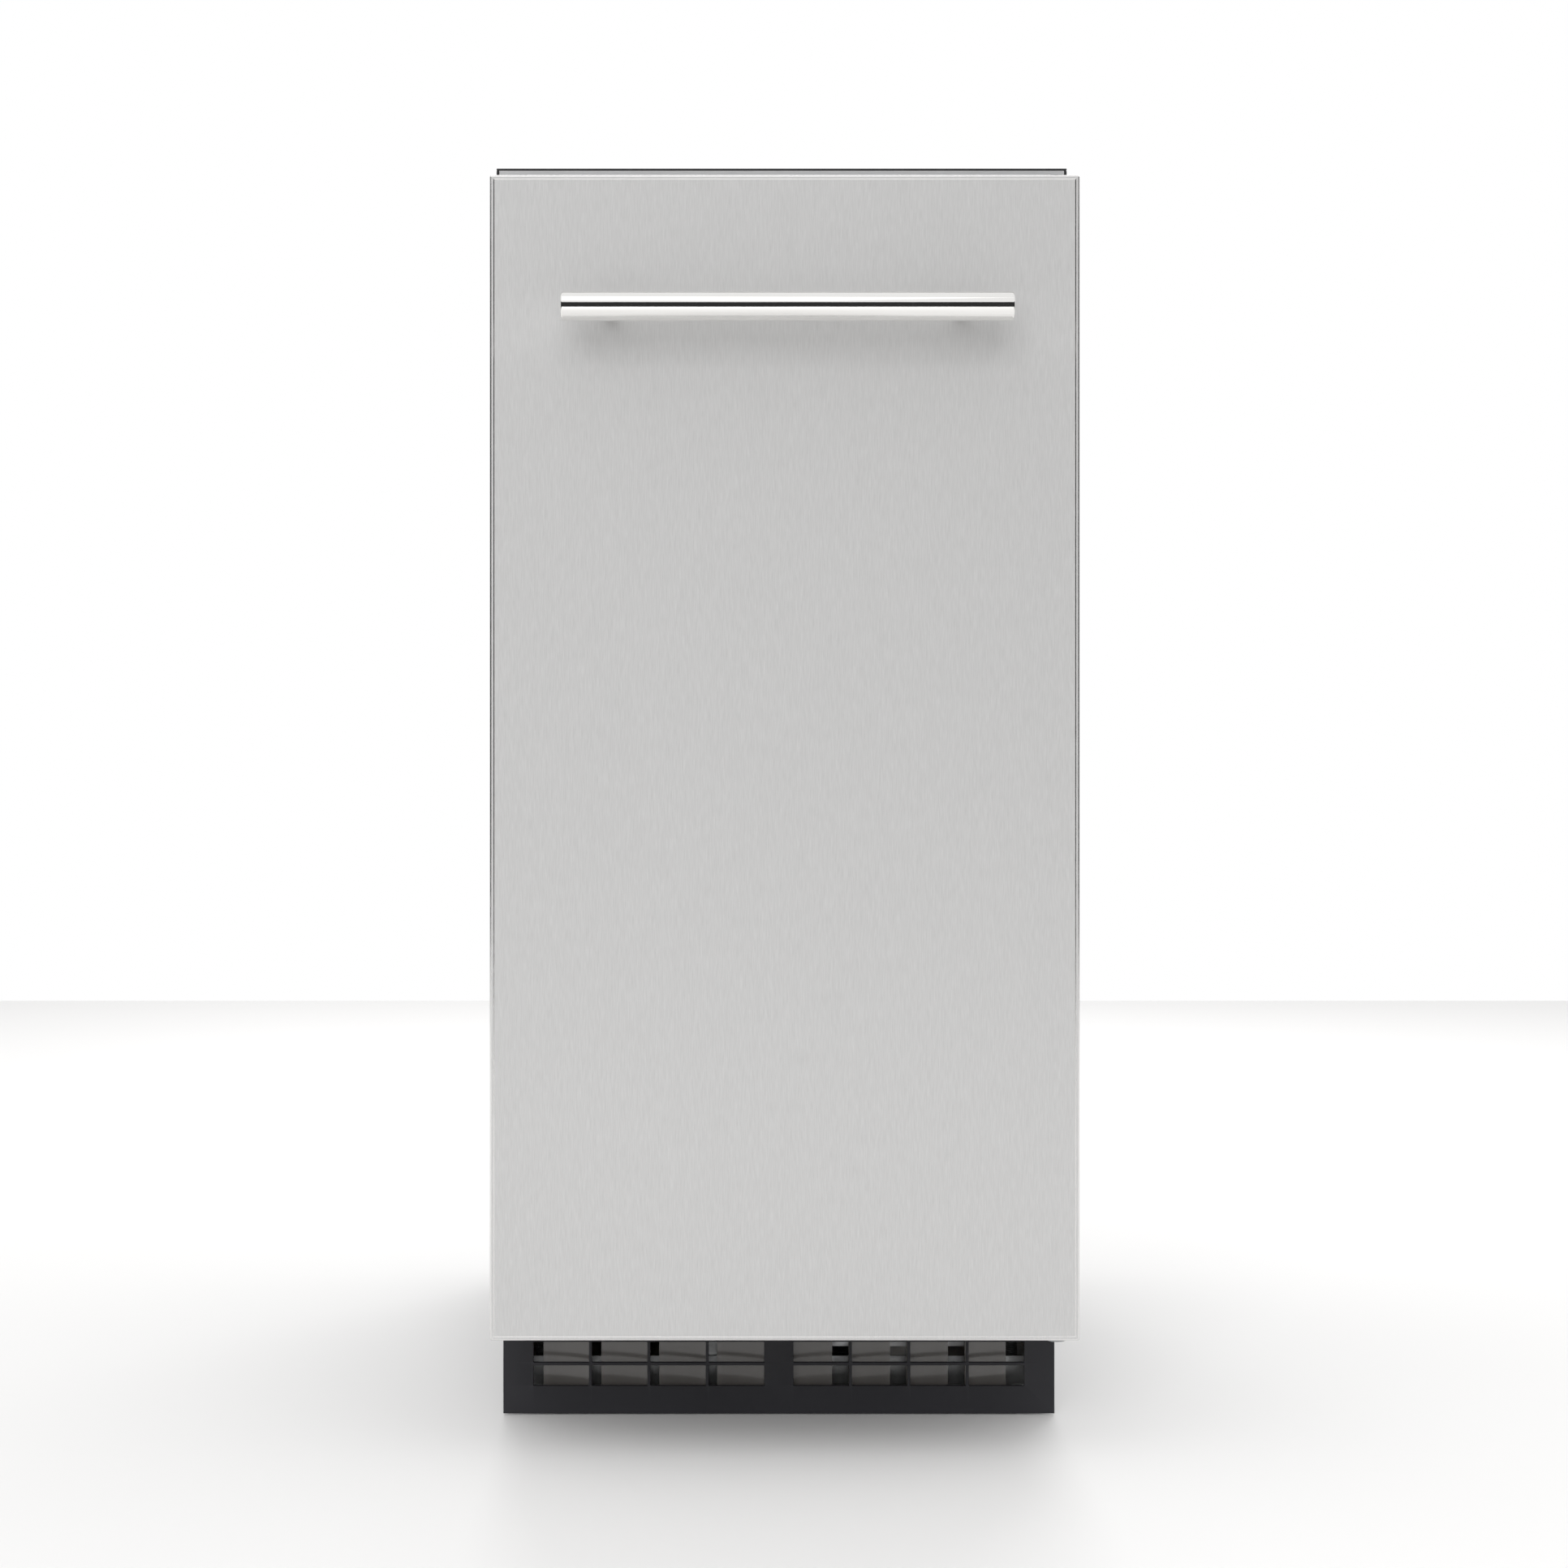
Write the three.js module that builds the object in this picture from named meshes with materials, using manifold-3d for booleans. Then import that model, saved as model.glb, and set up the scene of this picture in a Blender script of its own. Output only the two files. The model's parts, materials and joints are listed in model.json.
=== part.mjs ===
// Built-in undercounter ice maker: foamed cabinet, hinged stainless door, toe grille,
// refrigeration unit and clear-ice mechanism. Millimetres. +X right, +Y back, +Z up.
// Origin: middle of the footprint, on the floor.
import * as THREE from 'three';
import { mergeVertices } from 'three/addons/utils/BufferGeometryUtils.js';
import Module from 'manifold-3d';

const wasm = await Module();
wasm.setup();

// Driving dimensions
const width = 378;
const height = 840;
const handleRadius = 9;
const handleStandoff = 42;
const doorThickness = 46;
const doorGap = 9;
const cabinetDepth = 536;
const fittingReach = 12;
const doorBottom = 75.5;
const doorTop = 822;
const toeRecess = 53;
const sheet = 1.2;
const gap = 0.3;
const baseBottom = 14;
const compartmentTop = 226;
const handleHeight = 729.5;
const handleLength = 282;
const doorEdgeRadius = 3;
const doorBackFold = 2.3;
const trimBottom = 826;

// Planes worked out from them
const halfWidth = width / 2;
const totalDepth = handleRadius + handleStandoff + doorThickness + doorGap + cabinetDepth + fittingReach;
const doorFront = handleRadius + handleStandoff - totalDepth / 2;
const doorBack = doorFront + doorThickness;
const cabinetFront = doorBack + doorGap;
const cabinetBack = cabinetFront + cabinetDepth;
const toeFront = cabinetFront + toeRecess;
const innerSide = halfWidth - sheet - gap;
const wallTop = height - sheet - gap;
const rearSkinFront = cabinetBack - sheet;

// The opening behind the door, and the moulded liner behind it
const opening = { halfWidth: 149, bottom: 252, top: 800 };
const liner = { wall: 2.5, back: 262, sillTop: 332, sillDepth: 22 };
const linerFront = cabinetFront + 2.4;
const hingePin = { x: 177, y: doorFront + 23.5, radius: 4, bore: 4 + gap, headRadius: 6.5 };
const hingePlate = {
  thickness: 2.5, noseRadius: 9, left: 150, right: 188, shoulder: 14, flange: 11, reachUnder: 40,
};
const doorBushRadius = 6.1;

// Toe grille: eight columns of openings in three rows, mirrored about a middle bar
const grille = { margin: 21, column: 38, divider: 2, middle: 19.4, bottom: 1, top: 70.5 };
const grilleRows = [[20, 33.9], [36.1, 50], [52.2, 66.1]];
const slat = { thickness: 1.8, lean: 12, railHeight: 1.3, bottom: 13, top: 68.3 };
const slatBanks = {
  left: { side: -1, chord: 33.5, towardsMiddle: 3.2 },
  right: { side: 1, chord: 29.5, towardsMiddle: 6 },
};

// The ice mechanism
const plateTilt = THREE.MathUtils.degToRad(12);
const plateCentre = { y: 130, z: 738 };
const curtainAxis = { y: 22, z: 778 };
const gridCentre = { y: -62, z: 684 };
const reservoir = { halfWidth: 142, front: 20, back: 150, bottom: 640, top: 690, wall: 2.5 };
const floatPlace = { x: 118, y: 85 };
const pumpPlace = { x: -118, y: 95 };

// The machine compartment
const fanCentre = { x: 52.5, z: 127 };
const condenserSpan = [-50, 155];
const compressorCentre = { x: -88, y: 205 };
const fillTubeX = -90;
const suctionX = 112;
const drainX = 60;
const valveHeight = 110;
const outletHeight = 50;
const gland = { x: 150, z: 60 };
const legSpots = [
  ['front_left', -165, -118],
  ['front_right', 165, -118],
  ['rear_left', -165, 285],
  ['rear_right', 165, 285],
];

const finishes = {
  brushedSteel: { color: 0xc6c5c3, roughness: 0.38, metalness: 1 },
  polishedSteel: { color: 0xd8d6d2, roughness: 0.12, metalness: 1 },
  blackPaint: { color: 0x1c1c1e, roughness: 0.55, metalness: 0.1 },
  zincSteel: { color: 0xa9adb0, roughness: 0.45, metalness: 1 },
  toePlastic: { color: 0x242428, roughness: 0.5, metalness: 0 },
  louvrePlastic: { color: 0x3d3a38, roughness: 0.25, metalness: 0 },
  whitePlastic: { color: 0xeceeee, roughness: 0.4, metalness: 0 },
  greyPlastic: { color: 0x8d9195, roughness: 0.45, metalness: 0 },
  clearPlastic: { color: 0xcfd8dc, roughness: 0.15, metalness: 0 },
  foam: { color: 0xe4cf8e, roughness: 0.9, metalness: 0 },
  rubber: { color: 0x2a2a2a, roughness: 0.8, metalness: 0 },
  copper: { color: 0xb87346, roughness: 0.3, metalness: 1 },
  aluminium: { color: 0xb9bcbf, roughness: 0.4, metalness: 1 },
  brass: { color: 0xb8954f, roughness: 0.35, metalness: 1 },
};

const iceMaker = new THREE.Group();

function place(name, geometry, finish, parent = iceMaker) {
  const mesh = new THREE.Mesh(geometry, new THREE.MeshStandardMaterial(finishes[finish]));
  mesh.name = name;
  parent.add(mesh);
  return mesh;
}

// Booleans
function solid(geometry) {
  const bare = geometry.clone();
  bare.deleteAttribute('normal');
  bare.deleteAttribute('uv');
  const merged = mergeVertices(bare, 1e-4);
  return new wasm.Manifold(new wasm.Mesh({
    numProp: 3,
    vertProperties: new Float32Array(merged.attributes.position.array),
    triVerts: new Uint32Array(merged.index.array),
  }));
}

function geometryOf(manifold) {
  const mesh = manifold.getMesh();
  const geometry = new THREE.BufferGeometry();
  geometry.setAttribute('position', new THREE.BufferAttribute(mesh.vertProperties, 3));
  geometry.setIndex(new THREE.BufferAttribute(mesh.triVerts, 1));
  geometry.computeVertexNormals();
  return geometry;
}

function shaped(base, added, cut = []) {
  let body = solid(base);
  for (const piece of added) {
    body = body.add(solid(piece));
  }
  for (const piece of cut) {
    body = body.subtract(solid(piece));
  }
  return geometryOf(body);
}

// Basic shapes
function box([x0, x1], [y0, y1], [z0, z1]) {
  const geometry = new THREE.BoxGeometry(x1 - x0, y1 - y0, z1 - z0);
  return geometry.translate((x0 + x1) / 2, (y0 + y1) / 2, (z0 + z1) / 2);
}

function alongX(geometry) {
  return geometry.rotateZ(-Math.PI / 2);
}

function alongZ(geometry) {
  return geometry.rotateX(Math.PI / 2);
}

function rodY(radius, [y0, y1], x, z, sides = 20) {
  return new THREE.CylinderGeometry(radius, radius, y1 - y0, sides).translate(x, (y0 + y1) / 2, z);
}

function rodX(radius, [x0, x1], y, z, sides = 20) {
  const rod = alongX(new THREE.CylinderGeometry(radius, radius, x1 - x0, sides));
  return rod.translate((x0 + x1) / 2, y, z);
}

function rodZ(radius, [z0, z1], x, y, sides = 20) {
  const rod = alongZ(new THREE.CylinderGeometry(radius, radius, z1 - z0, sides));
  return rod.translate(x, y, (z0 + z1) / 2);
}

// A turned piece: pairs of radius and height, closed on the axis, standing on Z
function turned(profile, sides = 24) {
  const points = profile.map(([radius, z]) => new THREE.Vector2(radius, z));
  return new THREE.LatheGeometry(points, sides).rotateX(Math.PI / 2);
}

function outline(points) {
  return new THREE.Shape(points.map(([u, v]) => new THREE.Vector2(u, v)));
}

function rectangle([u0, u1], [v0, v1]) {
  return [[u0, v0], [u1, v0], [u1, v1], [u0, v1]];
}

// A plate drawn in X and Z, from y0 to y1
function plateXZ(points, holes, [y0, y1]) {
  const shape = outline(points);
  shape.holes = holes.map((hole) => new THREE.Path(hole.map(([u, v]) => new THREE.Vector2(u, v))));
  const geometry = new THREE.ExtrudeGeometry(shape, { depth: y1 - y0, bevelEnabled: false });
  return geometry.rotateX(Math.PI / 2).translate(0, y1, 0);
}

// A plate drawn in Y and Z, from x0 to x1
function plateYZ(points, [x0, x1]) {
  const geometry = new THREE.ExtrudeGeometry(outline(points), { depth: x1 - x0, bevelEnabled: false });
  const turn = new THREE.Matrix4().makeBasis(
    new THREE.Vector3(0, 1, 0),
    new THREE.Vector3(0, 0, 1),
    new THREE.Vector3(1, 0, 0),
  );
  return geometry.applyMatrix4(turn).translate(x0, 0, 0);
}

function pipe(route, radius, steps, sides = 8, bore = 0) {
  const points = route.map((point) => new THREE.Vector3(...point));
  const path = new THREE.CatmullRomCurve3(points, false, 'centripetal');
  const section = new THREE.Shape();
  section.absarc(0, 0, radius, 0, 2 * Math.PI);
  if (bore > 0) {
    section.holes.push(new THREE.Path().absarc(0, 0, bore, 0, 2 * Math.PI));
  }
  const curveSegments = Math.round(sides / 2);
  return new THREE.ExtrudeGeometry(section, { steps, extrudePath: path, curveSegments, bevelEnabled: false });
}

function ring([x0, x1], [z0, z1], band, [y0, y1]) {
  const inner = rectangle([x0 + band, x1 - band], [z0 + band, z1 - band]);
  return plateXZ(rectangle([x0, x1], [z0, z1]), [inner], [y0, y1]);
}

// Cabinet shell
function cabinetShell() {
  const sideOutline = [
    [cabinetFront, doorBottom],
    [toeFront + 3, doorBottom],
    [toeFront + 3, baseBottom],
    [cabinetBack, baseBottom],
    [cabinetBack, wallTop],
    [cabinetFront, wallTop],
  ];
  place('left_side_panel', plateYZ(sideOutline, [-halfWidth, sheet - halfWidth]), 'blackPaint');
  place('right_side_panel', plateYZ(sideOutline, [halfWidth - sheet, halfWidth]), 'blackPaint');
  const top = box([-halfWidth, halfWidth], [cabinetFront, cabinetBack], [height - sheet, height]);
  place('top_panel', top, 'blackPaint');
  const rear = box([-innerSide, innerSide], [rearSkinFront, cabinetBack], [compartmentTop, wallTop]);
  place('rear_panel', rear, 'zincSteel');
  const trim = box([-innerSide, innerSide], [cabinetFront, cabinetFront + 2], [trimBottom, wallTop]);
  place('top_front_trim', trim, 'brushedSteel');
}

// Vent slots in two columns, and round holes for the valve, drain and cord gland
function rearServiceCover() {
  const tall = [baseBottom + gap, compartmentTop - gap];
  const cover = box([-innerSide, innerSide], [rearSkinFront, cabinetBack], tall);
  const through = [rearSkinFront - 2, cabinetBack + 2];
  const slots = [];
  for (let row = 0; row < 6; row += 1) {
    const z = 142 + row * 11;
    slots.push(box([-150, -20], through, [z, z + 6]));
    slots.push(box([20, 150], through, [z, z + 6]));
  }
  const holes = [
    rodY(10.4, through, fillTubeX, valveHeight),
    rodY(8.8, through, drainX, outletHeight),
    rodY(9.2, through, gland.x, gland.z),
  ];
  place('rear_service_cover', shaped(cover, [], [...slots, ...holes]), 'zincSteel');
}

// A shallow tray with a boss and a hole for each levelling leg
function basePan() {
  const front = toeFront + 28;
  const back = rearSkinFront - gap;
  const tray = box([-innerSide, innerSide], [front, back], [baseBottom, 34]);
  const hollow = box([-innerSide + 1.5, innerSide - 1.5], [front + 1.5, back - 1.5], [baseBottom + 1.5, 40]);
  let pan = solid(tray).subtract(solid(hollow));
  for (const [, x, y] of legSpots) {
    const boss = solid(rodZ(11, [baseBottom + 0.5, 28], x, y));
    const studHole = solid(rodZ(5, [0, 40], x, y));
    pan = pan.add(boss).subtract(studHole);
  }
  place('base_pan', geometryOf(pan), 'zincSteel');
}

// Face frame round the opening, folded back over the toe recess
function frontFrame() {
  const face = plateXZ(
    rectangle([-innerSide, innerSide], [doorBottom, trimBottom - gap]),
    [rectangle([-opening.halfWidth, opening.halfWidth], [opening.bottom, opening.top])],
    [cabinetFront, cabinetFront + 2],
  );
  const fold = box([-innerSide, innerSide], [cabinetFront, toeFront + 3], [doorBottom, doorBottom + 2]);
  place('front_frame', shaped(face, [fold]), 'blackPaint');
}

// Moulded liner: open at the front above the sill, with holes for the drain and two lines
function binLiner() {
  const { wall, back, sillTop, sillDepth } = liner;
  const half = opening.halfWidth;
  const outer = box(
    [-half - wall, half + wall],
    [linerFront, back],
    [opening.bottom - wall, opening.top + wall],
  );
  const room = box([-half, half], [linerFront + sillDepth, back - wall], [opening.bottom, opening.top]);
  const mouth = box([-half, half], [linerFront - 1, linerFront + sillDepth + 1], [sillTop, opening.top]);
  const holes = [
    rodZ(10.6, [240, 260], drainX, 200),
    rodY(6.5, [250, 270], fillTubeX, 702),
    rodY(6.5, [250, 270], suctionX, 741),
  ];
  place('bin_liner', shaped(outer, [], [room, mouth, ...holes]), 'whitePlastic');
}

// Foam fills the space between skins and liner, with grooves for the lines up the back
function insulationFoam() {
  const block = box(
    [-innerSide + gap, innerSide - gap],
    [linerFront, rearSkinFront - gap],
    [compartmentTop, wallTop - gap],
  );
  const half = opening.halfWidth + liner.wall + gap;
  const pocket = box(
    [-half, half],
    [linerFront - 5, liner.back + gap],
    [opening.bottom - liner.wall - gap, opening.top + liner.wall + gap],
  );
  const grooves = [
    box([fillTubeX - 9, fillTubeX + 9], [287, 320], [200, 712]),
    box([suctionX - 9, suctionX + 9], [283, 320], [200, 753]),
    rodZ(11, [200, 260], drainX, 200),
    rodY(9.5, [250, 300], fillTubeX, 700),
    rodY(10.5, [250, 300], suctionX, 740),
  ];
  place('insulation_foam', shaped(block, [], [pocket, ...grooves]), 'foam');
}

// A flat hinge plate: a narrow nose round the pin, wider behind, its back edge at backY
function hingePlateGeometry(backY, z) {
  const { left, right, noseRadius, shoulder, thickness } = hingePlate;
  const noseLeft = hingePin.x - noseRadius;
  const noseRight = hingePin.x + noseRadius;
  const shape = new THREE.Shape();
  shape.moveTo(left, backY);
  shape.lineTo(left, hingePin.y + shoulder + 4);
  shape.lineTo(noseLeft, hingePin.y + shoulder - 6);
  shape.lineTo(noseLeft, hingePin.y);
  shape.absarc(hingePin.x, hingePin.y, noseRadius, Math.PI, 2 * Math.PI);
  shape.lineTo(noseRight, hingePin.y + shoulder - 6);
  shape.lineTo(right, hingePin.y + shoulder);
  shape.lineTo(right, backY);
  const settings = { depth: thickness, bevelEnabled: false, curveSegments: 8 };
  return new THREE.ExtrudeGeometry(shape, settings).translate(0, 0, z);
}

// Hinges: a plate above and one below the door, each with its pin
function hinges() {
  const { right, thickness, flange, reachUnder } = hingePlate;
  const upperZ = doorTop + 0.5;
  const upperBack = cabinetFront - gap;
  const upperFlange = box(
    [hingePin.x - 8, right],
    [upperBack - thickness, upperBack],
    [upperZ - flange, upperZ + thickness],
  );
  const upperHole = rodZ(hingePin.bore, [upperZ - 5, upperZ + 9], hingePin.x, hingePin.y);
  const upper = shaped(hingePlateGeometry(upperBack, upperZ), [upperFlange], [upperHole]);
  place('upper_hinge_plate', upper, 'zincSteel');

  const lowerZ = doorBottom - thickness - 0.4;
  const lowerHole = rodZ(hingePin.bore, [lowerZ - 5, lowerZ + 9], hingePin.x, hingePin.y);
  const lower = shaped(hingePlateGeometry(cabinetFront + reachUnder, lowerZ), [], [lowerHole]);
  place('lower_hinge_plate', lower, 'zincSteel');

  place('upper_hinge_pin', pinGeometry(upperZ + thickness + 0.2, doorTop - 16), 'zincSteel');
  place('lower_hinge_pin', pinGeometry(lowerZ - 0.2, doorBottom + 16), 'zincSteel');
}

// A headed pin: its head rests at one end and its shank runs to the other
function pinGeometry(headZ, tipZ) {
  const headSpan = headZ > tipZ ? [headZ, headZ + 1.6] : [headZ - 1.6, headZ];
  const shankSpan = headZ > tipZ ? [tipZ, headZ + 0.8] : [headZ - 0.8, tipZ];
  return shaped(
    rodZ(hingePin.radius, shankSpan, hingePin.x, hingePin.y, 16),
    [rodZ(hingePin.headRadius, headSpan, hingePin.x, hingePin.y, 16)],
  );
}

function grilleColumns() {
  const columns = [];
  for (let index = 0; index < 4; index += 1) {
    const start = grille.middle / 2 + index * (grille.column + grille.divider);
    columns.push([start, start + grille.column], [-start - grille.column, -start]);
  }
  return columns;
}

function toeGrille() {
  const span = [gap - halfWidth, halfWidth - gap];
  const tall = [grille.bottom, grille.top];
  const face = box(span, [toeFront, toeFront + 2.4], tall);
  const holes = [];
  for (const column of grilleColumns()) {
    for (const row of grilleRows) {
      holes.push(box(column, [toeFront - 5, toeFront + 5], row));
    }
  }
  const lip = ring([2 - halfWidth, halfWidth - 2], tall, 2, [toeFront + 1, toeFront + 10]);
  const footNotch = box([-halfWidth, halfWidth], [toeFront + 3, toeFront + 12], [12, 40]);
  const backLip = solid(lip).subtract(solid(footNotch));
  place('toe_grille', geometryOf(solid(shaped(face, [], holes)).add(backLip)), 'toePlastic');
}

// Four angled slats on two rails stand behind each half of the grille
function louvreBank(name, { side, chord, towardsMiddle }) {
  const inner = side * (grille.middle / 2 - 2);
  const outer = side * (halfWidth - grille.margin + 2);
  const span = [Math.min(inner, outer), Math.max(inner, outer)];
  const depth = [toeFront + 3, toeFront + 26];
  const topRail = box(span, depth, [slat.top - slat.railHeight, slat.top]);
  const bottomRail = box(span, depth, [slat.bottom, slat.bottom + slat.railHeight]);
  const bladeHeight = slat.top - slat.bottom - slat.railHeight;
  const bladeMiddle = (slat.top + slat.bottom) / 2;
  const lean = side * THREE.MathUtils.degToRad(slat.lean);
  const slats = [];
  for (let index = 0; index < 4; index += 1) {
    const columnMiddle = (grille.middle + grille.column) / 2 + index * (grille.column + grille.divider);
    const blade = new THREE.BoxGeometry(chord, slat.thickness, bladeHeight).rotateZ(lean);
    slats.push(blade.translate(side * (columnMiddle - towardsMiddle), toeFront + 14, bladeMiddle));
  }
  place(name, shaped(topRail, [bottomRail, ...slats]), 'louvrePlastic');
}

// Folded steel pan: rounded front edges, open at the back, a hole at each hinge end
function doorSkin() {
  const radius = doorEdgeRadius;
  const foldPlane = doorBack - doorBackFold;
  const inset = rectangle([radius - halfWidth, halfWidth - radius], [doorBottom + radius, doorTop - radius]);
  const pan = new THREE.ExtrudeGeometry(outline(inset), {
    depth: doorThickness - radius - doorBackFold,
    bevelEnabled: true,
    bevelThickness: radius,
    bevelSize: radius,
    bevelSegments: 3,
  });
  pan.rotateX(Math.PI / 2).translate(0, foldPlane, 0);
  const backCut = box(
    [-halfWidth - 5, halfWidth + 5],
    [foldPlane, doorBack + 20],
    [doorBottom - 5, doorTop + 5],
  );
  const inside = box(
    [sheet - halfWidth, halfWidth - sheet],
    [doorFront + sheet, doorBack + 20],
    [doorBottom + sheet, doorTop - sheet],
  );
  const bushHoles = rodZ(doorBushRadius + gap, [doorBottom - 5, doorTop + 5], hingePin.x, hingePin.y);
  place('door_skin', shaped(pan, [], [backCut, inside, bushHoles]), 'brushedSteel');
}

function doorFoam() {
  const inset = sheet + gap;
  const foam = box(
    [inset - halfWidth, halfWidth - inset],
    [doorFront + inset, doorBack - doorBackFold],
    [doorBottom + inset, doorTop - inset],
  );
  const sockets = [[doorTop - 18, doorTop], [doorBottom, doorBottom + 18]].map(
    (span) => rodZ(doorBushRadius + gap, span, hingePin.x, hingePin.y),
  );
  place('door_foam', shaped(foam, [], sockets), 'foam');
}

// Inner door panel with its raised dyke, and the magnetic gasket round it
function doorInside() {
  const panel = box([3 - halfWidth, halfWidth - 3], [doorBack - 2, doorBack], [doorBottom + 3, doorTop - 3]);
  const dyke = ring([-142, 142], [262, 742], 22, [doorBack - 1, cabinetFront + 1.4]);
  place('door_liner', shaped(panel, [dyke]), 'whitePlastic');

  const base = ring([-167, 167], [234, 818], 13, [doorBack + gap, doorBack + 2.6]);
  const waist = ring([-164, 164], [237, 815], 7, [doorBack + 2, doorBack + 6]);
  const bulb = ring([-166, 166], [235, 817], 11, [doorBack + 5, cabinetFront - gap]);
  place('door_gasket', shaped(base, [waist, bulb]), 'rubber');
}

function doorBush(name, bottom, top) {
  const body = rodZ(doorBushRadius, [bottom, top], hingePin.x, hingePin.y);
  const bore = rodZ(hingePin.bore, [bottom - 1, top + 1], hingePin.x, hingePin.y, 16);
  place(name, shaped(body, [], [bore]), 'greyPlastic');
}

function door() {
  doorSkin();
  doorFoam();
  doorInside();
  doorBush('upper_door_bush', doorTop - 17.5, doorTop - 0.2);
  doorBush('lower_door_bush', doorBottom + 0.2, doorBottom + 17.5);
}

// A straight tubular bar on two posts
function handle() {
  const barY = doorFront - handleStandoff;
  const half = handleLength / 2;
  const end = 1.4;
  const corner = [
    [0, half],
    [handleRadius - end, half],
    [handleRadius - 0.4, half - end * 0.3],
    [handleRadius, half - end],
  ];
  const farCorner = corner.map(([radius, z]) => [radius, -z]);
  const bar = turned([...farCorner, ...corner.reverse()], 32);
  place('handle_bar', bar.rotateY(Math.PI / 2).translate(0, barY, handleHeight), 'polishedSteel');
  const around = rodX(handleRadius + gap, [-half, half], barY, handleHeight, 32);
  for (const [name, x] of [['handle_post_left', -112], ['handle_post_right', 112]]) {
    const post = rodY(4.5, [barY, doorFront - gap], x, handleHeight + 4.5);
    place(name, shaped(post, [], [around]), 'polishedSteel');
  }
}

// Levelling legs: each a stud on a round foot
function legs() {
  const foot = [[0, 0], [15, 0], [16, 1.5], [16, 6], [12, 9]];
  const stud = [[4.6, 9.5], [4.6, 43], [3.8, 44], [0, 44]];
  for (const [corner, x, y] of legSpots) {
    const leg = turned([...foot, ...stud]);
    place(`leg_${corner}`, leg, 'zincSteel').position.set(x, y, 0);
  }
}

// Refrigeration unit
function compressor() {
  const pot = turned([
    [0, 29], [66, 29], [74, 36], [77, 46], [77, 140], [74, 158], [62, 174], [40, 184], [0, 188],
  ], 32).translate(compressorCentre.x, compressorCentre.y, 0);
  const foot = box([-176, 0], [compressorCentre.y - 64, compressorCentre.y + 64], [26, 30]);
  const stud = rodZ(5, [20, 27], -168, compressorCentre.y - 56, 12);
  const studs = [stud];
  for (const [dx, dy] of [[160, 0], [0, 112], [160, 112]]) {
    studs.push(stud.clone().translate(dx, dy, 0));
  }
  const pads = studs.map((pad) => pad.clone().translate(0, 0, -4));
  place('compressor', shaped(pot, [foot, ...studs, ...pads]), 'blackPaint');
}

// Finned block between end plates
function condenser() {
  const span = condenserSpan;
  const depth = [toeFront + 30, toeFront + 66];
  const block = box(span, depth, [40, 214]);
  const cuts = [];
  for (let z = 48; z < 206; z += 8) {
    cuts.push(box([span[0] + 4, span[1] - 4], [depth[0] - 2, depth[0] + 15], [z, z + 5]));
    cuts.push(box([span[0] + 4, span[1] - 4], [depth[1] - 15, depth[1] + 2], [z, z + 5]));
  }
  const feet = [box([-50, -40], depth, [16, 41]), box([95, 105], depth, [16, 41])];
  place('condenser', shaped(block, feet, cuts), 'aluminium');
}

function fan() {
  const { x, z } = fanCentre;
  const front = toeFront + 66.6;
  const plate = box(condenserSpan, [front, front + 2], [40, 214]);
  const collar = rodY(80, [front + 1, front + 25], x, z, 36);
  const hole = rodY(77, [front - 2, front + 30], x, z, 36);
  place('fan_shroud', shaped(plate, [collar], [hole]), 'blackPaint');

  const hub = rodY(19, [front + 6, front + 24], x, z, 24);
  const blades = [];
  for (let index = 0; index < 5; index += 1) {
    const blade = new THREE.BoxGeometry(58, 2, 34).rotateX(THREE.MathUtils.degToRad(28));
    blade.translate(43.5, 0, 0).rotateY((index * 2 * Math.PI) / 5);
    blades.push(blade.translate(x, front + 15, z));
  }
  const sweep = rodY(73, [front - 10, front + 40], x, z, 36);
  const shaftBore = rodY(3.6, [front + 10, front + 30], x, z, 12);
  const fullBlades = blades.map(solid).reduce((sum, blade) => sum.add(blade));
  const rotor = solid(hub).add(fullBlades.intersect(solid(sweep)));
  place('fan_rotor', geometryOf(rotor.subtract(solid(shaftBore))), 'greyPlastic');

  const motorFront = front + 26;
  const motor = rodY(26, [motorFront, motorFront + 42], x, z, 24);
  const shaft = rodY(3.2, [motorFront - 14, motorFront + 1], x, z, 12);
  const foot = box([x - 14, x + 14], [motorFront + 12, motorFront + 16], [16, z]);
  const base = box([x - 20, x + 20], [motorFront + 2, motorFront + 30], [15.9, 18]);
  place('fan_motor', shaped(motor, [shaft, foot, base]), 'zincSteel');
}

function refrigerantLines() {
  const shellProfile = [[0, -50], [4, -50], [4, -42], [12, -34], [12, 34], [4, 42], [4, 50], [0, 50]];
  const drier = turned(shellProfile, 16);
  place('filter_drier', drier.rotateX(Math.PI / 2).translate(140, 70, 45), 'copper');
  place('suction_line', pipe([
    [suctionX, 240, 741], [suctionX, 280, 741], [suctionX, 296, 727], [suctionX, 297, 600],
    [suctionX, 297, 400], [suctionX, 297, 240], [suctionX, 290, 160], [90, 274, 124], [40, 258, 120],
    [-10, 240, 120],
  ], 4.5, 34), 'copper');
  place('discharge_line', pipe([
    [-8, 205, 100], [14, 200, 100], [60, 150, 110], [124, 118, 140], [172, 60, 180], [176, -60, 190],
    [174, -108, 190], [166, -122, 190], [155.6, -123, 190],
  ], 4, 34), 'copper');
  place('liquid_line', pipe([
    [155.6, -123, 62], [166, -122, 62], [174, -100, 61], [172, -50, 56], [158, -8, 48], [142, 4, 45],
    [140, 12, 45], [140, 19.5, 45],
  ], 3.4, 24), 'copper');
}

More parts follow.
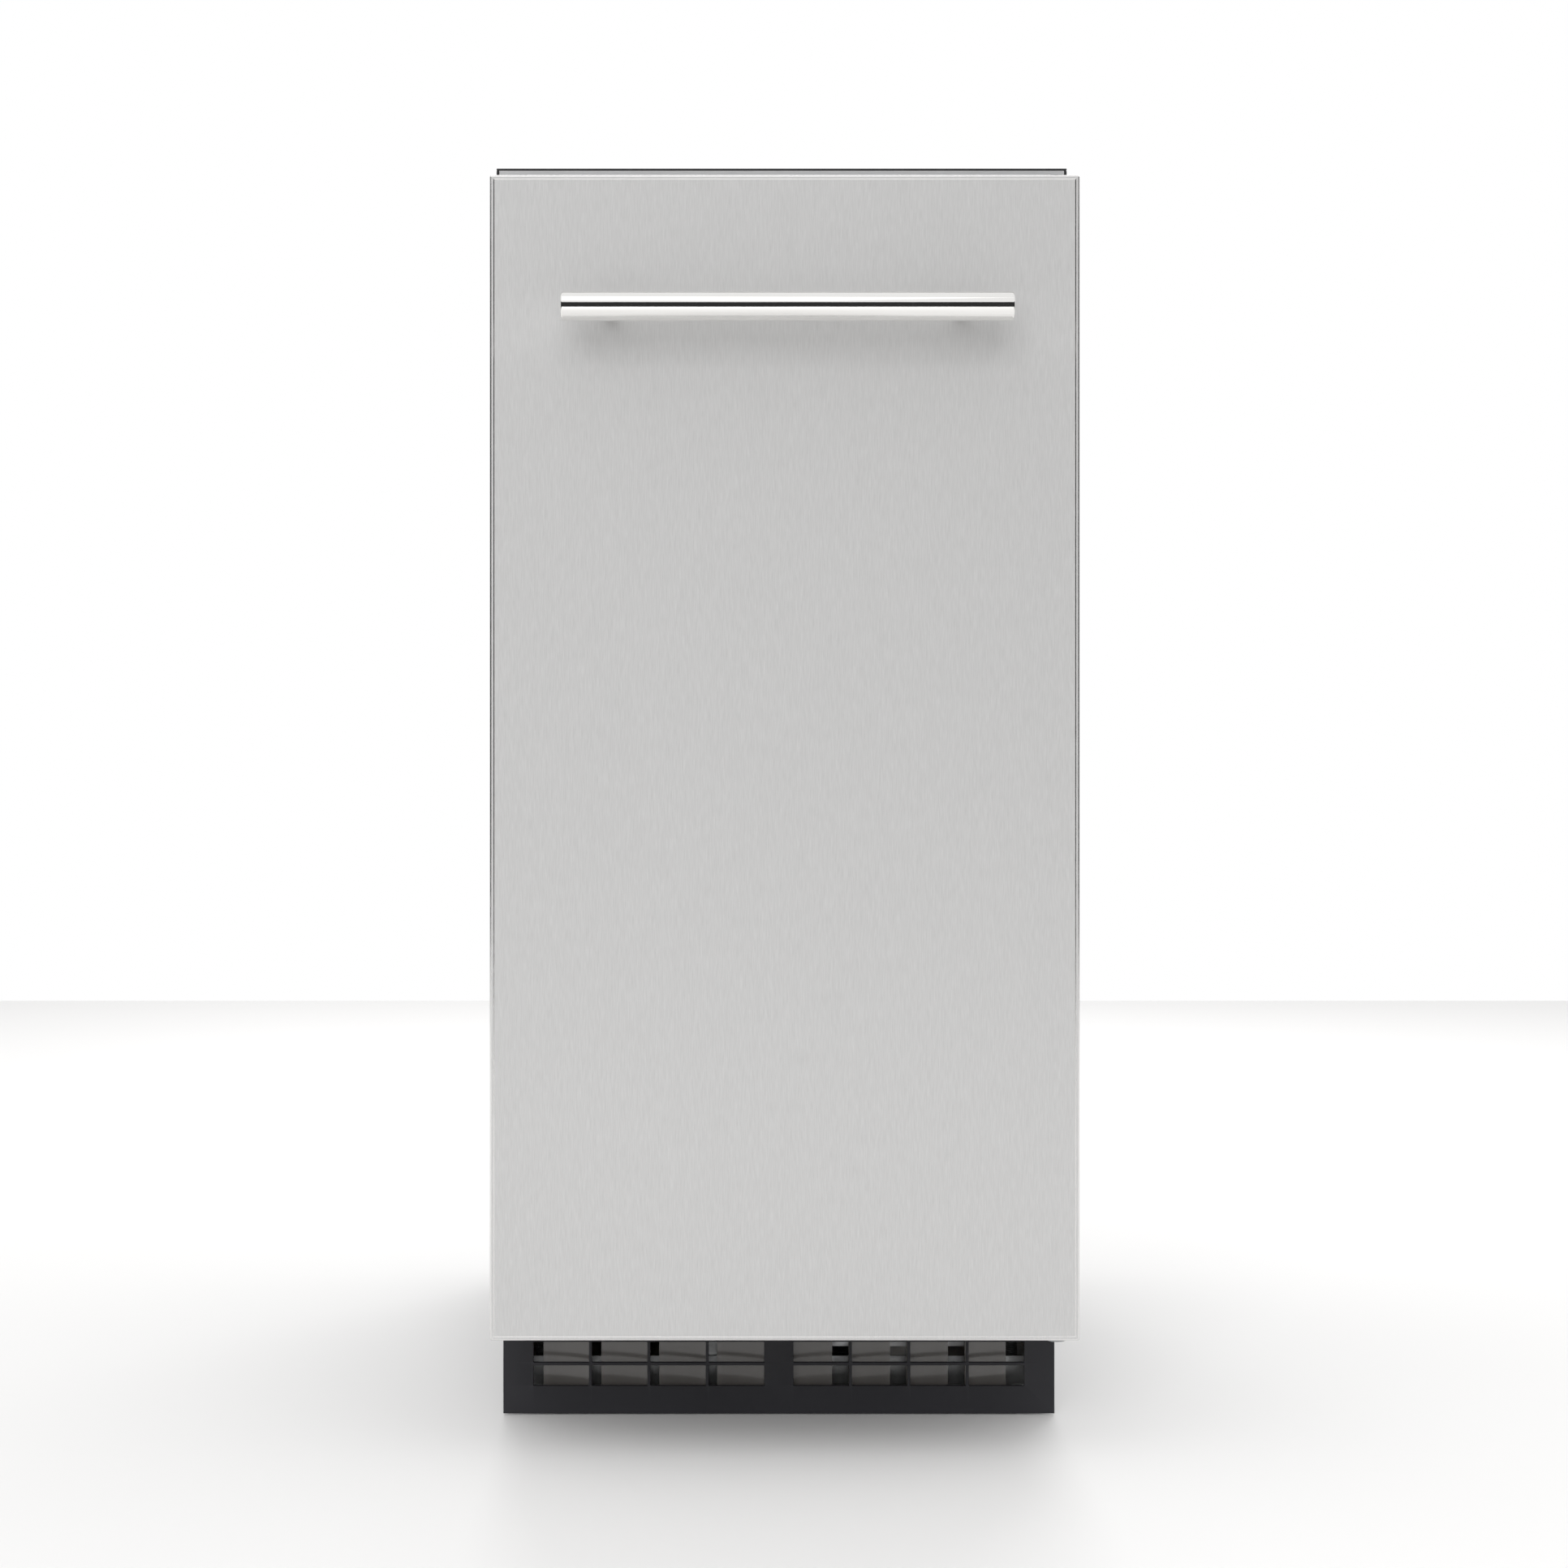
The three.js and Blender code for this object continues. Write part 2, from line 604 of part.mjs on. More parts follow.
// Control box, open at the front, and the cord gland in the service cover
function controlBox() {
  const shell = box([-180, -60], [toeFront + 20, toeFront + 100], [84, 190]);
  const room = box([-178.5, -61.5], [toeFront + 19, toeFront + 98.5], [85.5, 188.5]);
  place('control_box', shaped(shell, [], [room]), 'zincSteel');
  const sleeve = turned([
    [4, -12], [8.8, -12], [8.8, 3.6], [15, 3.6], [15, 7], [9, 11], [4, 11], [4, -12],
  ], 20).rotateX(-Math.PI / 2).translate(gland.x, cabinetBack - 3, gland.z);
  place('power_inlet_gland', sleeve, 'rubber');
}

// Water inlet, fill tube and drain
function plumbing() {
  const valveBody = box([fillTubeX - 16, fillTubeX + 16], [286, 311], [90, 128]);
  const inlet = rodY(10, [310, cabinetBack + fittingReach], fillTubeX, valveHeight);
  const inletBore = rodY(6, [318, cabinetBack + fittingReach + 1], fillTubeX, valveHeight, 16);
  const coil = rodX(12, [fillTubeX + 15, fillTubeX + 36], 298, 108, 16);
  place('water_inlet_valve', shaped(valveBody, [inlet, coil], [inletBore]), 'whitePlastic');
  place('water_fill_tube', pipe([
    [fillTubeX, 299, 128.4], [fillTubeX, 299, 240], [fillTubeX, 299, 480], [fillTubeX, 299, 670],
    [fillTubeX, 288, 700], [fillTubeX, 262, 702], [fillTubeX, 200, 702], [fillTubeX, 150, 702],
    [fillTubeX, 137, 698],
  ], 4.2, 34, 8, 2.6), 'clearPlastic');
  const flange = rodZ(17, [opening.bottom + gap, opening.bottom + 2.3], drainX, 200);
  const neck = rodZ(10, [190, opening.bottom + 2], drainX, 200);
  const bore = rodZ(6, [180, opening.bottom + 5], drainX, 200, 16);
  const drainRoute = [
    [drainX, 200, 200], [drainX, 200, 120], [drainX, 206, 78], [drainX, 232, 55], [drainX, 268, outletHeight],
    [drainX, cabinetBack + fittingReach, outletHeight],
  ];
  const hose = pipe(drainRoute, 8.2, 20, 10);
  const body = [flange, neck, hose].map(solid).reduce((sum, piece) => sum.add(piece));
  const open = solid(bore).add(solid(pipe(drainRoute, 6, 20, 8)));
  place('drain_tube', geometryOf(body.subtract(open)), 'greyPlastic');
}

// Ice mechanism: two side plates joined by a cross bar carry the plate and the curtain
function mechanismFrame() {
  const sidePlate = [[-150, 672], [20, 694], [160, 694], [252, 706], [252, 796], [4, 796], [-150, 712]];
  const left = plateYZ(sidePlate, [-147.6, -146]);
  const right = plateYZ(sidePlate, [146, 147.6]);
  const crossBar = box([-147, 147], [250, 252], [770, 796]);
  const pivot = rodX(3.5, [-150, 150], curtainAxis.y, curtainAxis.z, 16);
  place('mechanism_frame', shaped(left, [right, crossBar], [pivot]), 'zincSteel');
}

// The sloped plate and everything fixed square to it, in one tilted group
function evaporator() {
  const group = new THREE.Group();
  group.position.set(0, plateCentre.y, plateCentre.z);
  group.rotation.x = plateTilt;
  iceMaker.add(group);
  const plate = box([-142, 142], [-95, 95], [-1.5, 9]);
  const channel = box([-140.4, 140.4], [-100, 93], [0, 12]);
  place('evaporator_plate', shaped(plate, [], [channel]), 'polishedSteel', group);

  const passes = 5;
  const pitch = 34;
  const reach = 110;
  const route = [];
  for (let index = 0; index < passes; index += 1) {
    const y = -68 + index * pitch;
    const side = index % 2 === 0 ? 1 : -1;
    route.push([-side * reach, y, -7], [0, y, -7], [side * reach, y, -7]);
    if (index < passes - 1) {
      route.push([side * (reach + pitch * 0.42), y + pitch / 2, -7]);
    }
  }
  place('evaporator_coil', pipe(route, 4.6, 60), 'copper', group);

  const tube = rodX(8, [-128, 128], 82, 20, 16);
  const inlet = rodY(5, [84, 96], pumpPlace.x, 20, 12);
  const jets = [];
  for (let x = -110; x <= 110; x += 22) {
    jets.push(rodY(1.6, [68, 80], x, 20, 8));
  }
  place('water_distributor', shaped(tube, [inlet], jets), 'whitePlastic', group);
}

// Frame with two layers of thin heated wires that cut the slab into cubes
function cutterGrid() {
  const outer = box([-143, 143], [-72, 72], [-11, 11]);
  const inner = box([-137, 137], [-66, 66], [-20, 20]);
  let grid = solid(outer).subtract(solid(inner));
  for (let x = -114; x <= 114; x += 22.8) {
    grid = grid.add(solid(box([x - 0.6, x + 0.6], [-68, 68], [4, 5.2])));
  }
  for (let y = -44; y <= 44; y += 22) {
    grid = grid.add(solid(box([-140, 140], [y - 0.6, y + 0.6], [-3.2, -2])));
  }
  const mesh = place('cutter_grid', geometryOf(grid), 'greyPlastic');
  mesh.position.set(0, gridCentre.y, gridCentre.z);
  mesh.rotation.x = THREE.MathUtils.degToRad(8);
}

function waterCurtain() {
  const { y, z } = curtainAxis;
  const rod = rodX(3, [-147.4, 147.4], y, z, 16);
  const sheetPlate = box([-138, 138], [y - 1.3, y + 1.3], [z - 54, z]);
  place('water_curtain', shaped(rod, [sheetPlate]), 'clearPlastic');
}

// Open trough with a stem for the float; the pump stands in it
function waterParts() {
  const { halfWidth: half, front, back, bottom, top, wall } = reservoir;
  const trough = box([-half, half], [front, back], [bottom, top]);
  const room = box([wall - half, half - wall], [front + wall, back - wall], [bottom + wall, top + 5]);
  const stem = rodZ(3, [bottom + 1, top - 4], floatPlace.x, floatPlace.y, 12);
  const body = solid(trough).subtract(solid(room)).add(solid(stem));
  place('water_reservoir', geometryOf(body), 'whitePlastic');

  const floor = bottom + wall + gap;
  const disc = rodZ(13, [floor, floor + 18], floatPlace.x, floatPlace.y, 20);
  const bore = rodZ(3.7, [floor - 1, floor + 20], floatPlace.x, floatPlace.y, 16);
  place('reservoir_float', shaped(disc, [], [bore]), 'whitePlastic');

  const pump = turned([
    [0, floor], [17, floor], [17, 660], [12, 663], [12, 672], [16, 674], [16, 706], [13, 709], [0, 709],
  ], 20).translate(pumpPlace.x, pumpPlace.y, 0);
  const spout = rodY(4.5, [pumpPlace.y + 10, pumpPlace.y + 21], pumpPlace.x, 700, 12);
  place('circulation_pump', shaped(pump, [spout]), 'greyPlastic');
  place('pump_riser_tube', pipe([
    [pumpPlace.x, 116.4, 700], [pumpPlace.x, 190, 700], [pumpPlace.x, 228, 704], [pumpPlace.x, 240, 722],
    [pumpPlace.x, 242, 756], [pumpPlace.x, 238, 776], [pumpPlace.x, 221.6, 777.4],
  ], 4.2, 22), 'clearPlastic');
}

function binSensor() {
  const bulb = rodY(4, [10, 120], -141, 600, 12);
  const clips = [[20, 30], [100, 110]].map((span) => box([-148.7, -140], span, [597, 603]));
  place('bin_level_sensor', shaped(bulb, clips), 'copper');
}

// Fascia across the top of the opening, with two sprung buttons
function controls() {
  const front = cabinetFront + 6;
  const z = 776;
  const fascia = box([-148.4, 148.4], [front, front + 30], [754, opening.top - gap]);
  const room = box([-146.4, 146.4], [front + 2, front + 32], [756, opening.top - gap - 2]);
  const buttons = [['power_button', -18], ['clean_button', 18]];
  const holes = buttons.map(([, x]) => rodY(8.5, [front - 2, front + 4], x, z, 24));
  place('control_panel', shaped(fascia, [], [room, ...holes]), 'greyPlastic');
  for (const [name, x] of buttons) {
    const cap = rodY(8, [front - 2.4, front + 2.4], x, z, 24);
    const flange = rodY(10, [front + 2.4, front + 4.6], x, z, 24);
    place(name, shaped(cap, [flange]), 'whitePlastic');
  }
}

// Scoop hanging mouth down in a pocket on the left wall
function scoopAndHolder() {
  const back = box([-148.7, -147], [-186, -98], [392, 500]);
  const pocket = box([-147.5, -116], [-186, -98], [392, 468]);
  const room = box([-147, -118], [-184, -100], [394, 520]);
  const slot = box([-120, -110], [-166, -118], [430, 480]);
  place('scoop_holder', shaped(back, [pocket], [room, slot]), 'clearPlastic');
  const bowl = box([-146, -121], [-180, -104], [396, 512]);
  const hollow = box([-144, -110], [-178, -106], [380, 510]);
  const neck = box([-146, -134], [-150, -134], [511, 524]);
  const grip = rodZ(7.5, [520, 590], -138, -142, 16);
  place('scoop', shaped(bowl, [neck, grip], [hollow]), 'whitePlastic');
}

cabinetShell();
rearServiceCover();
basePan();
frontFrame();
binLiner();
insulationFoam();
hinges();
toeGrille();
louvreBank('louvre_bank_left', slatBanks.left);
louvreBank('louvre_bank_right', slatBanks.right);
door();
handle();
legs();
compressor();
condenser();
fan();
refrigerantLines();
controlBox();
plumbing();
mechanismFrame();
evaporator();
cutterGrid();
waterCurtain();
waterParts();
binSensor();
controls();
scoopAndHolder();

export default iceMaker;
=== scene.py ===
# Undercounter ice maker: stainless door, bar handle, toe grille, lined bin and ice works
import json
import math

import bmesh
import bpy
from mathutils import Matrix, Vector


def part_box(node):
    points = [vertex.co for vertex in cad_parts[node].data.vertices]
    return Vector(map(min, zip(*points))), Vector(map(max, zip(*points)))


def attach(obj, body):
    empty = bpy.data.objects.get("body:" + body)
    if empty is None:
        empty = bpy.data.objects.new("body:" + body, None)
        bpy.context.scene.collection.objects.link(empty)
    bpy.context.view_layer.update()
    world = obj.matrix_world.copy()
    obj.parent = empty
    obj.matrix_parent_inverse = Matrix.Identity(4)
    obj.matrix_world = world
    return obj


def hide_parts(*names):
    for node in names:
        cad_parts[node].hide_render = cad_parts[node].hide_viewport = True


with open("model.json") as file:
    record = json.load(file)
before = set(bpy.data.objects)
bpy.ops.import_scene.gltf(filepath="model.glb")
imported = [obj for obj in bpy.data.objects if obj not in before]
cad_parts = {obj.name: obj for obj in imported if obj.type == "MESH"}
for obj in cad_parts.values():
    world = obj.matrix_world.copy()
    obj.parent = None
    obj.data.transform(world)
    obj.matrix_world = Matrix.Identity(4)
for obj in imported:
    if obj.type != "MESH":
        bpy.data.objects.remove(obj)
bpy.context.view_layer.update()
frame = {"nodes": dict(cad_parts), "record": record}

nodeObjects = frame["nodes"]
slotOfNode = {row["node"]: row["material_slot"] for row in frame["record"]["subparts"]}
bodyMembers = frame["record"]["behaviour"]["bodies"]
bodyOfNode = {node: body for body, members in bodyMembers.items() for node in members}
mm = 0.001
cutBeyond = 10 * mm  # how far a cutter stands out past what it cuts

scene = bpy.context.scene
scene.view_settings.view_transform = "Standard"


def startMaterial(name, color, metallic=0.0, roughness=0.5):
    material = bpy.data.materials.new(name)
    material.use_nodes = True
    shader = material.node_tree.nodes["Principled BSDF"]
    shader.inputs["Base Color"].default_value = (*color, 1)
    shader.inputs["Metallic"].default_value = metallic
    shader.inputs["Roughness"].default_value = roughness
    return material, material.node_tree, shader


def objectPoints(tree, scale):
    # object coordinates in metres, stretched
    coords = tree.nodes.new("ShaderNodeTexCoord")
    mapping = tree.nodes.new("ShaderNodeMapping")
    mapping.inputs["Scale"].default_value = scale
    tree.links.new(coords.outputs["Object"], mapping.inputs["Vector"])
    return mapping.outputs["Vector"]


def noise(tree, scale, detail=3.0, roughness=0.5):
    texture = tree.nodes.new("ShaderNodeTexNoise")
    texture.inputs["Scale"].default_value = 1.0
    texture.inputs["Detail"].default_value = detail
    texture.inputs["Roughness"].default_value = roughness
    tree.links.new(objectPoints(tree, scale), texture.inputs["Vector"])
    return texture.outputs["Fac"]


def remap(tree, value, low, high, fromLow=0.3, fromHigh=0.7):
    node = tree.nodes.new("ShaderNodeMapRange")
    node.inputs["From Min"].default_value = fromLow
    node.inputs["From Max"].default_value = fromHigh
    node.inputs["To Min"].default_value = low
    node.inputs["To Max"].default_value = high
    tree.links.new(value, node.inputs["Value"])
    return node.outputs["Result"]


def blendColor(tree, factor, colorA, colorB):
    # either colour may be a tuple or another node's output
    node = tree.nodes.new("ShaderNodeMix")
    node.data_type = "RGBA"
    for socket, color in ((node.inputs[6], colorA), (node.inputs[7], colorB)):
        if isinstance(color, tuple):
            socket.default_value = (*color, 1)
        else:
            tree.links.new(color, socket)
    tree.links.new(factor, node.inputs[0])
    return node.outputs[2]


def addHeights(tree, first, second, share):
    node = tree.nodes.new("ShaderNodeMath")
    node.operation = "MULTIPLY_ADD"
    node.inputs[1].default_value = share
    tree.links.new(second, node.inputs[0])
    tree.links.new(first, node.inputs[2])
    return node.outputs[0]


def addBump(tree, shader, height, strength, distance):
    bump = tree.nodes.new("ShaderNodeBump")
    bump.inputs["Strength"].default_value = strength
    bump.inputs["Distance"].default_value = distance
    tree.links.new(height, bump.inputs["Height"])
    tree.links.new(bump.outputs["Normal"], shader.inputs["Normal"])


def edgeShare(tree, low=0.52, high=0.6):
    # 1 on outside edges, 0 on flats
    geometry = tree.nodes.new("ShaderNodeNewGeometry")
    return remap(tree, geometry.outputs["Pointiness"], 0.0, 1.0, low, high)


def grained(tree, axis, fine=2600.0, along=7.0):
    # long thin streaks running along one axis
    scale = [fine, fine, fine]
    scale["xyz".index(axis)] = along
    return tuple(scale)


def brushedSteel(name, axis="z", color=(0.60, 0.595, 0.59), roughness=0.36, metallic=0.5, contrast=0.08):
    material, tree, shader = startMaterial(name, color, metallic, roughness)
    fine = noise(tree, grained(tree, axis, 2200.0, 100.0), 3.0, 0.6)
    broad = noise(tree, grained(tree, axis, 420.0, 20.0), 2.0)
    clouds = noise(tree, (4.0, 4.0, 2.5), 2.0)
    rim = rimHighlightShare(tree)
    dark = tuple(channel * (1 - contrast) for channel in color)
    light = tuple(min(1.0, channel * (1 + contrast)) for channel in color)
    shaded = tuple(channel * 0.96 for channel in color)
    streaks = blendColor(tree, remap(tree, fine, 0.0, 1.0), dark, light)
    tinted = blendColor(tree, remap(tree, broad, 0.0, 0.12), streaks, shaded)
    # painted highlight: the rounded edge's colour is blended towards light grey
    tree.links.new(blendColor(tree, rim, tinted, (0.80, 0.79, 0.785)), shader.inputs["Base Color"])
    rough = addHeights(tree, remap(tree, fine, roughness - 0.05, roughness + 0.05), clouds, 0.05)
    polished = addHeights(tree, rough, rim, -0.28)
    tree.links.new(polished, shader.inputs["Roughness"])
    tree.links.new(remap(tree, rim, metallic, 1.0, 0.0, 1.0), shader.inputs["Metallic"])
    shader.inputs["Anisotropic"].default_value = 0.4
    tangent = tree.nodes.new("ShaderNodeTangent")
    tangent.direction_type = "RADIAL"
    tangent.axis = "Z" if axis == "z" else "X"
    tree.links.new(tangent.outputs["Tangent"], shader.inputs["Tangent"])
    addBump(tree, shader, fine, 0.1, 0.00006)
    return material


def rimHighlightShare(tree):
    # 1 on the rounded edge between the flat face and the sides, where the colour is lightened as a painted
    # highlight and the steel is made smoother and fully metallic
    coords = tree.nodes.new("ShaderNodeTexCoord")
    split = tree.nodes.new("ShaderNodeSeparateXYZ")
    tree.links.new(coords.outputs["Normal"], split.inputs["Vector"])
    square = tree.nodes.new("ShaderNodeMath")
    square.operation = "MULTIPLY"
    tree.links.new(split.outputs["Y"], square.inputs[0])
    tree.links.new(split.outputs["Y"], square.inputs[1])
    offFace = remap(tree, square.outputs[0], 1.0, 0.0, 0.95, 0.995)
    offSide = remap(tree, square.outputs[0], 0.0, 1.0, 0.0, 0.03)
    turning = tree.nodes.new("ShaderNodeMath")
    turning.operation = "MULTIPLY"
    tree.links.new(offFace, turning.inputs[0])
    tree.links.new(offSide, turning.inputs[1])
    return turning.outputs[0]


def polishedSteel(name, axis="x", roughness=0.06):
    material, tree, shader = startMaterial(name, (0.86, 0.85, 0.83), 1.0, roughness)
    fine = noise(tree, grained(tree, axis, 1500.0, 30.0), 4.0, 0.6)
    smudge = noise(tree, (26.0, 26.0, 26.0), 3.0)
    tree.links.new(
        blendColor(tree, remap(tree, fine, 0.0, 1.0), (0.84, 0.83, 0.81), (0.88, 0.875, 0.86)),
        shader.inputs["Base Color"],
    )
    rough = addHeights(tree, remap(tree, fine, roughness - 0.02, roughness + 0.03), smudge, 0.04)
    tree.links.new(rough, shader.inputs["Roughness"])
    addBump(tree, shader, fine, 0.05, 0.00003)
    return material


def powderCoat(name, color=(0.011, 0.011, 0.012), roughness=0.42, gloss=0.0):
    material, tree, shader = startMaterial(name, color, 0.0, roughness)
    peel = noise(tree, (420.0, 420.0, 420.0), 3.0)
    dust = noise(tree, (9.0, 9.0, 5.0), 3.0)
    worn = tuple(channel * 1.9 + 0.012 for channel in color)
    base = blendColor(tree, remap(tree, dust, 0.0, 0.4), color, tuple(channel * 1.25 for channel in color))
    tree.links.new(blendColor(tree, edgeShare(tree), base, worn), shader.inputs["Base Color"])
    tree.links.new(remap(tree, dust, roughness - 0.03, roughness + 0.04), shader.inputs["Roughness"])
    addBump(tree, shader, peel, 0.35, 0.00022)
    shader.inputs["Coat Weight"].default_value = gloss
    shader.inputs["Coat Roughness"].default_value = 0.12
    return material


def zincPlate(name, color=(0.42, 0.43, 0.44)):
    material, tree, shader = startMaterial(name, color, 0.92, 0.42)
    spangle = tree.nodes.new("ShaderNodeTexVoronoi")
    spangle.inputs["Scale"].default_value = 1.0
    tree.links.new(objectPoints(tree, (210.0, 210.0, 210.0)), spangle.inputs["Vector"])
    flake = tree.nodes.new("ShaderNodeRGBToBW")
    tree.links.new(spangle.outputs["Color"], flake.inputs["Color"])
    stain = noise(tree, (14.0, 14.0, 14.0), 4.0)
    light = tuple(channel * 1.1 for channel in color)
    dark = tuple(channel * 0.88 for channel in color)
    crystals = blendColor(tree, remap(tree, flake.outputs["Val"], 0.0, 1.0, 0.2, 0.8), dark, light)
    aged = blendColor(tree, remap(tree, stain, 0.0, 0.45), crystals, (0.36, 0.36, 0.35))
    tree.links.new(aged, shader.inputs["Base Color"])
    tree.links.new(remap(tree, flake.outputs["Val"], 0.34, 0.52, 0.2, 0.8), shader.inputs["Roughness"])
    addBump(tree, shader, noise(tree, (600.0, 600.0, 600.0)), 0.1, 0.00008)
    return material


def mouldedPlastic(name, color, roughness=0.45, grain=0.2, shine=0.5, grainScale=900.0, variation=0.10):
    material, tree, shader = startMaterial(name, color, 0.0, roughness)
    texture = noise(tree, (grainScale, grainScale, grainScale), 2.0)
    cloud = noise(tree, (12.0, 12.0, 12.0), 3.0)
    lighter = tuple(min(1.0, channel * (1 + variation) + 0.002) for channel in color)
    darker = tuple(channel * (1 - variation) for channel in color)
    base = blendColor(tree, remap(tree, cloud, 0.0, 1.0), darker, lighter)
    rubbed = tuple(min(1.0, channel * (1 + 1.8 * variation) + 0.004) for channel in color)
    rough = remap(tree, cloud, roughness - 0.02, roughness + 0.03, 0.2, 0.8)
    tree.links.new(blendColor(tree, edgeShare(tree, 0.53, 0.68), base, rubbed), shader.inputs["Base Color"])
    tree.links.new(rough, shader.inputs["Roughness"])
    shader.inputs["Specular IOR Level"].default_value = shine
    addBump(tree, shader, texture, grain, 0.00012)
    return material


def clearPlastic(name, color=(0.82, 0.88, 0.90)):
    material = mouldedPlastic(name, color, 0.16, 0.04, 0.5, 300.0, 0.04)
    shader = material.node_tree.nodes["Principled BSDF"]
    shader.inputs["Transmission Weight"].default_value = 0.72
    shader.inputs["IOR"].default_value = 1.46
    return material


def softRubber(name, color=(0.02, 0.02, 0.021)):
    material = mouldedPlastic(name, color, 0.62, 0.25, 0.35, 1400.0, 0.2)
    shader = material.node_tree.nodes["Principled BSDF"]
    shader.inputs["Sheen Weight"].default_value = 0.15
    shader.inputs["Sheen Roughness"].default_value = 0.5
    return material


def drawnMetal(name, color, roughness=0.28, tarnish=(0.32, 0.16, 0.09), grime=0.5):
    material, tree, shader = startMaterial(name, color, 1.0, roughness)
    stain = noise(tree, (60.0, 60.0, 60.0), 5.0)
    fine = noise(tree, (900.0, 900.0, 900.0), 2.0)
    stained = blendColor(tree, remap(tree, stain, 0.0, grime), color, tarnish)
    tree.links.new(stained, shader.inputs["Base Color"])
    tree.links.new(remap(tree, stain, roughness - 0.06, roughness + 0.16), shader.inputs["Roughness"])
    addBump(tree, shader, fine, 0.12, 0.00005)
    return material


def foamFill(name):
    material, tree, shader = startMaterial(name, (0.72, 0.58, 0.26), 0.0, 0.9)
    cells = tree.nodes.new("ShaderNodeTexVoronoi")
    cells.inputs["Scale"].default_value = 1.0
    tree.links.new(objectPoints(tree, (700.0, 700.0, 700.0)), cells.inputs["Vector"])
    base = blendColor(tree, cells.outputs["Distance"], (0.52, 0.38, 0.15), (0.80, 0.67, 0.34))
    tree.links.new(base, shader.inputs["Base Color"])
    addBump(tree, shader, cells.outputs["Distance"], 0.6, 0.0006)
    return material


finishes = {
    "door_steel": brushedSteel("doorSteel", "z", (0.535, 0.533, 0.53), 0.44, 0.3),
    "trim_steel": brushedSteel("trimSteel", "x", (0.5, 0.5, 0.505), 0.36, 0.4),
    "handle_steel": polishedSteel("handleSteel"),
    "cabinet_black": powderCoat("cabinetBlack"),
    "zinc_steel": zincPlate("zincSteel"),
    "toe_charcoal": mouldedPlastic("toeCharcoal", (0.0135, 0.0132, 0.0162), 0.5, 0.3, 0.4),
    "louvre_dark": mouldedPlastic("louvreDark", (0.085, 0.080, 0.076), 0.16, 0.04, 0.8, 900.0, 0.2),
    "liner_white": mouldedPlastic("linerWhite", (0.78, 0.80, 0.80), 0.34, 0.12, 0.5, 500.0, 0.012),
    "grey_plastic": mouldedPlastic("greyPlastic", (0.25, 0.26, 0.28), 0.42, 0.25),
    "clear_plastic": clearPlastic("clearPlastic"),
    "foam_fill": foamFill("foamFill"),
    "seal_rubber": softRubber("sealRubber"),
    "copper_tube": drawnMetal("copperTube", (0.72, 0.38, 0.22)),
    "aluminium_fin": drawnMetal("aluminiumFin", (0.62, 0.63, 0.64), 0.34, (0.45, 0.45, 0.45), 0.4),
    "compressor_black": powderCoat("compressorBlack", (0.012, 0.012, 0.013), 0.3, 0.6),
}
print("finishes ready:", len(finishes))


def makePiece(name, bm, slotName, body, replaced=(), smoothAngle=38):
    mesh = bpy.data.meshes.new(name)
    bm.to_mesh(mesh)
    bm.free()
    piece = bpy.data.objects.new(name, mesh)
    scene.collection.objects.link(piece)
    mesh.shade_smooth()
    mesh.set_sharp_from_angle(angle=math.radians(smoothAngle))
    mesh.materials.append(finishes[slotName])
    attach(piece, body)
    if replaced:
        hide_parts(*replaced)
    return piece


def applyModifiers(piece):
    graph = bpy.context.evaluated_depsgraph_get()
    finished = bpy.data.meshes.new_from_object(piece.evaluated_get(graph))
    old = piece.data
    piece.modifiers.clear()
    piece.data = finished
    bpy.data.meshes.remove(old)
    return piece


def cleanCopy(node):
    # welded copy of a CAD node, with its flat faces joined
    bm = bmesh.new()
    bm.from_mesh(nodeObjects[node].data)
    bmesh.ops.remove_doubles(bm, verts=bm.verts, dist=0.00002)
    mergeFlats(bm)
    return bm


def mergeFlats(bm):
    # joins faces lying in one plane, but never round a hole
    limit = math.radians(0.8)
    bm.normal_update()
    for edge in list(bm.edges):
        if not edge.is_valid or len(edge.link_faces) != 2:
            continue
        first, second = edge.link_faces
        if first == second or first.normal.angle(second.normal, 4.0) > limit:
            continue
        sharedEdges = set(first.edges) & set(second.edges)
        sharedVertices = set(first.verts) & set(second.verts)
        if len(sharedVertices) != len(sharedEdges) + 1:
            continue
        merged = bmesh.utils.face_join([first, second])
        if merged:
            merged.normal_update()
    loose = [vertex for vertex in bm.verts if not vertex.link_edges]
    bmesh.ops.delete(bm, geom=loose, context="VERTS")


def softenEdges(piece, width, segments=2, angle=32):
    bevel = piece.modifiers.new("softEdges", "BEVEL")
    bevel.width = width
    bevel.segments = segments
    bevel.limit_method = "ANGLE"
    bevel.angle_limit = math.radians(angle)
    bevel.use_clamp_overlap = True
    bevel.miter_outer = "MITER_ARC"
    bevel.harden_normals = True
    return applyModifiers(piece)


def refineNodes(nodes, width, segments, angle=32):
    # each CAD node's own shape, with its edges rounded
    for node in nodes:
        piece = makePiece(node + "Finished", cleanCopy(node), slotOfNode[node], bodyOfNode[node], [node])
        softenEdges(piece, width, segments, angle)


def thicken(piece, thickness, offset, even=False):
    # gives a sheet its thickness
    sheet = piece.modifiers.new("sheet", "SOLIDIFY")
    sheet.thickness = thickness
    sheet.offset = offset
    sheet.use_even_offset = even
    return applyModifiers(piece)


def cutAway(piece, cutter):
    cut = piece.modifiers.new("hole", "BOOLEAN")
    cut.operation = "DIFFERENCE"
    cut.solver = "EXACT"
    cut.object = cutter
    applyModifiers(piece)
    bpy.data.objects.remove(cutter)


def drillHole(piece, start, axis, radius, length, slotName="zinc_steel"):
    profile = [(0, 0), (radius, 0), (radius, length), (0, length)]
    cutAway(piece, turnedPiece("holeCutter", profile, start, axis, slotName, "cabinet", (), 40))


def bevelEdges(bm, edges, offset, segments):
    bmesh.ops.bevel(
        bm, geom=edges, offset=offset, segments=segments, profile=0.5, affect="EDGES", clamp_overlap=True,
    )


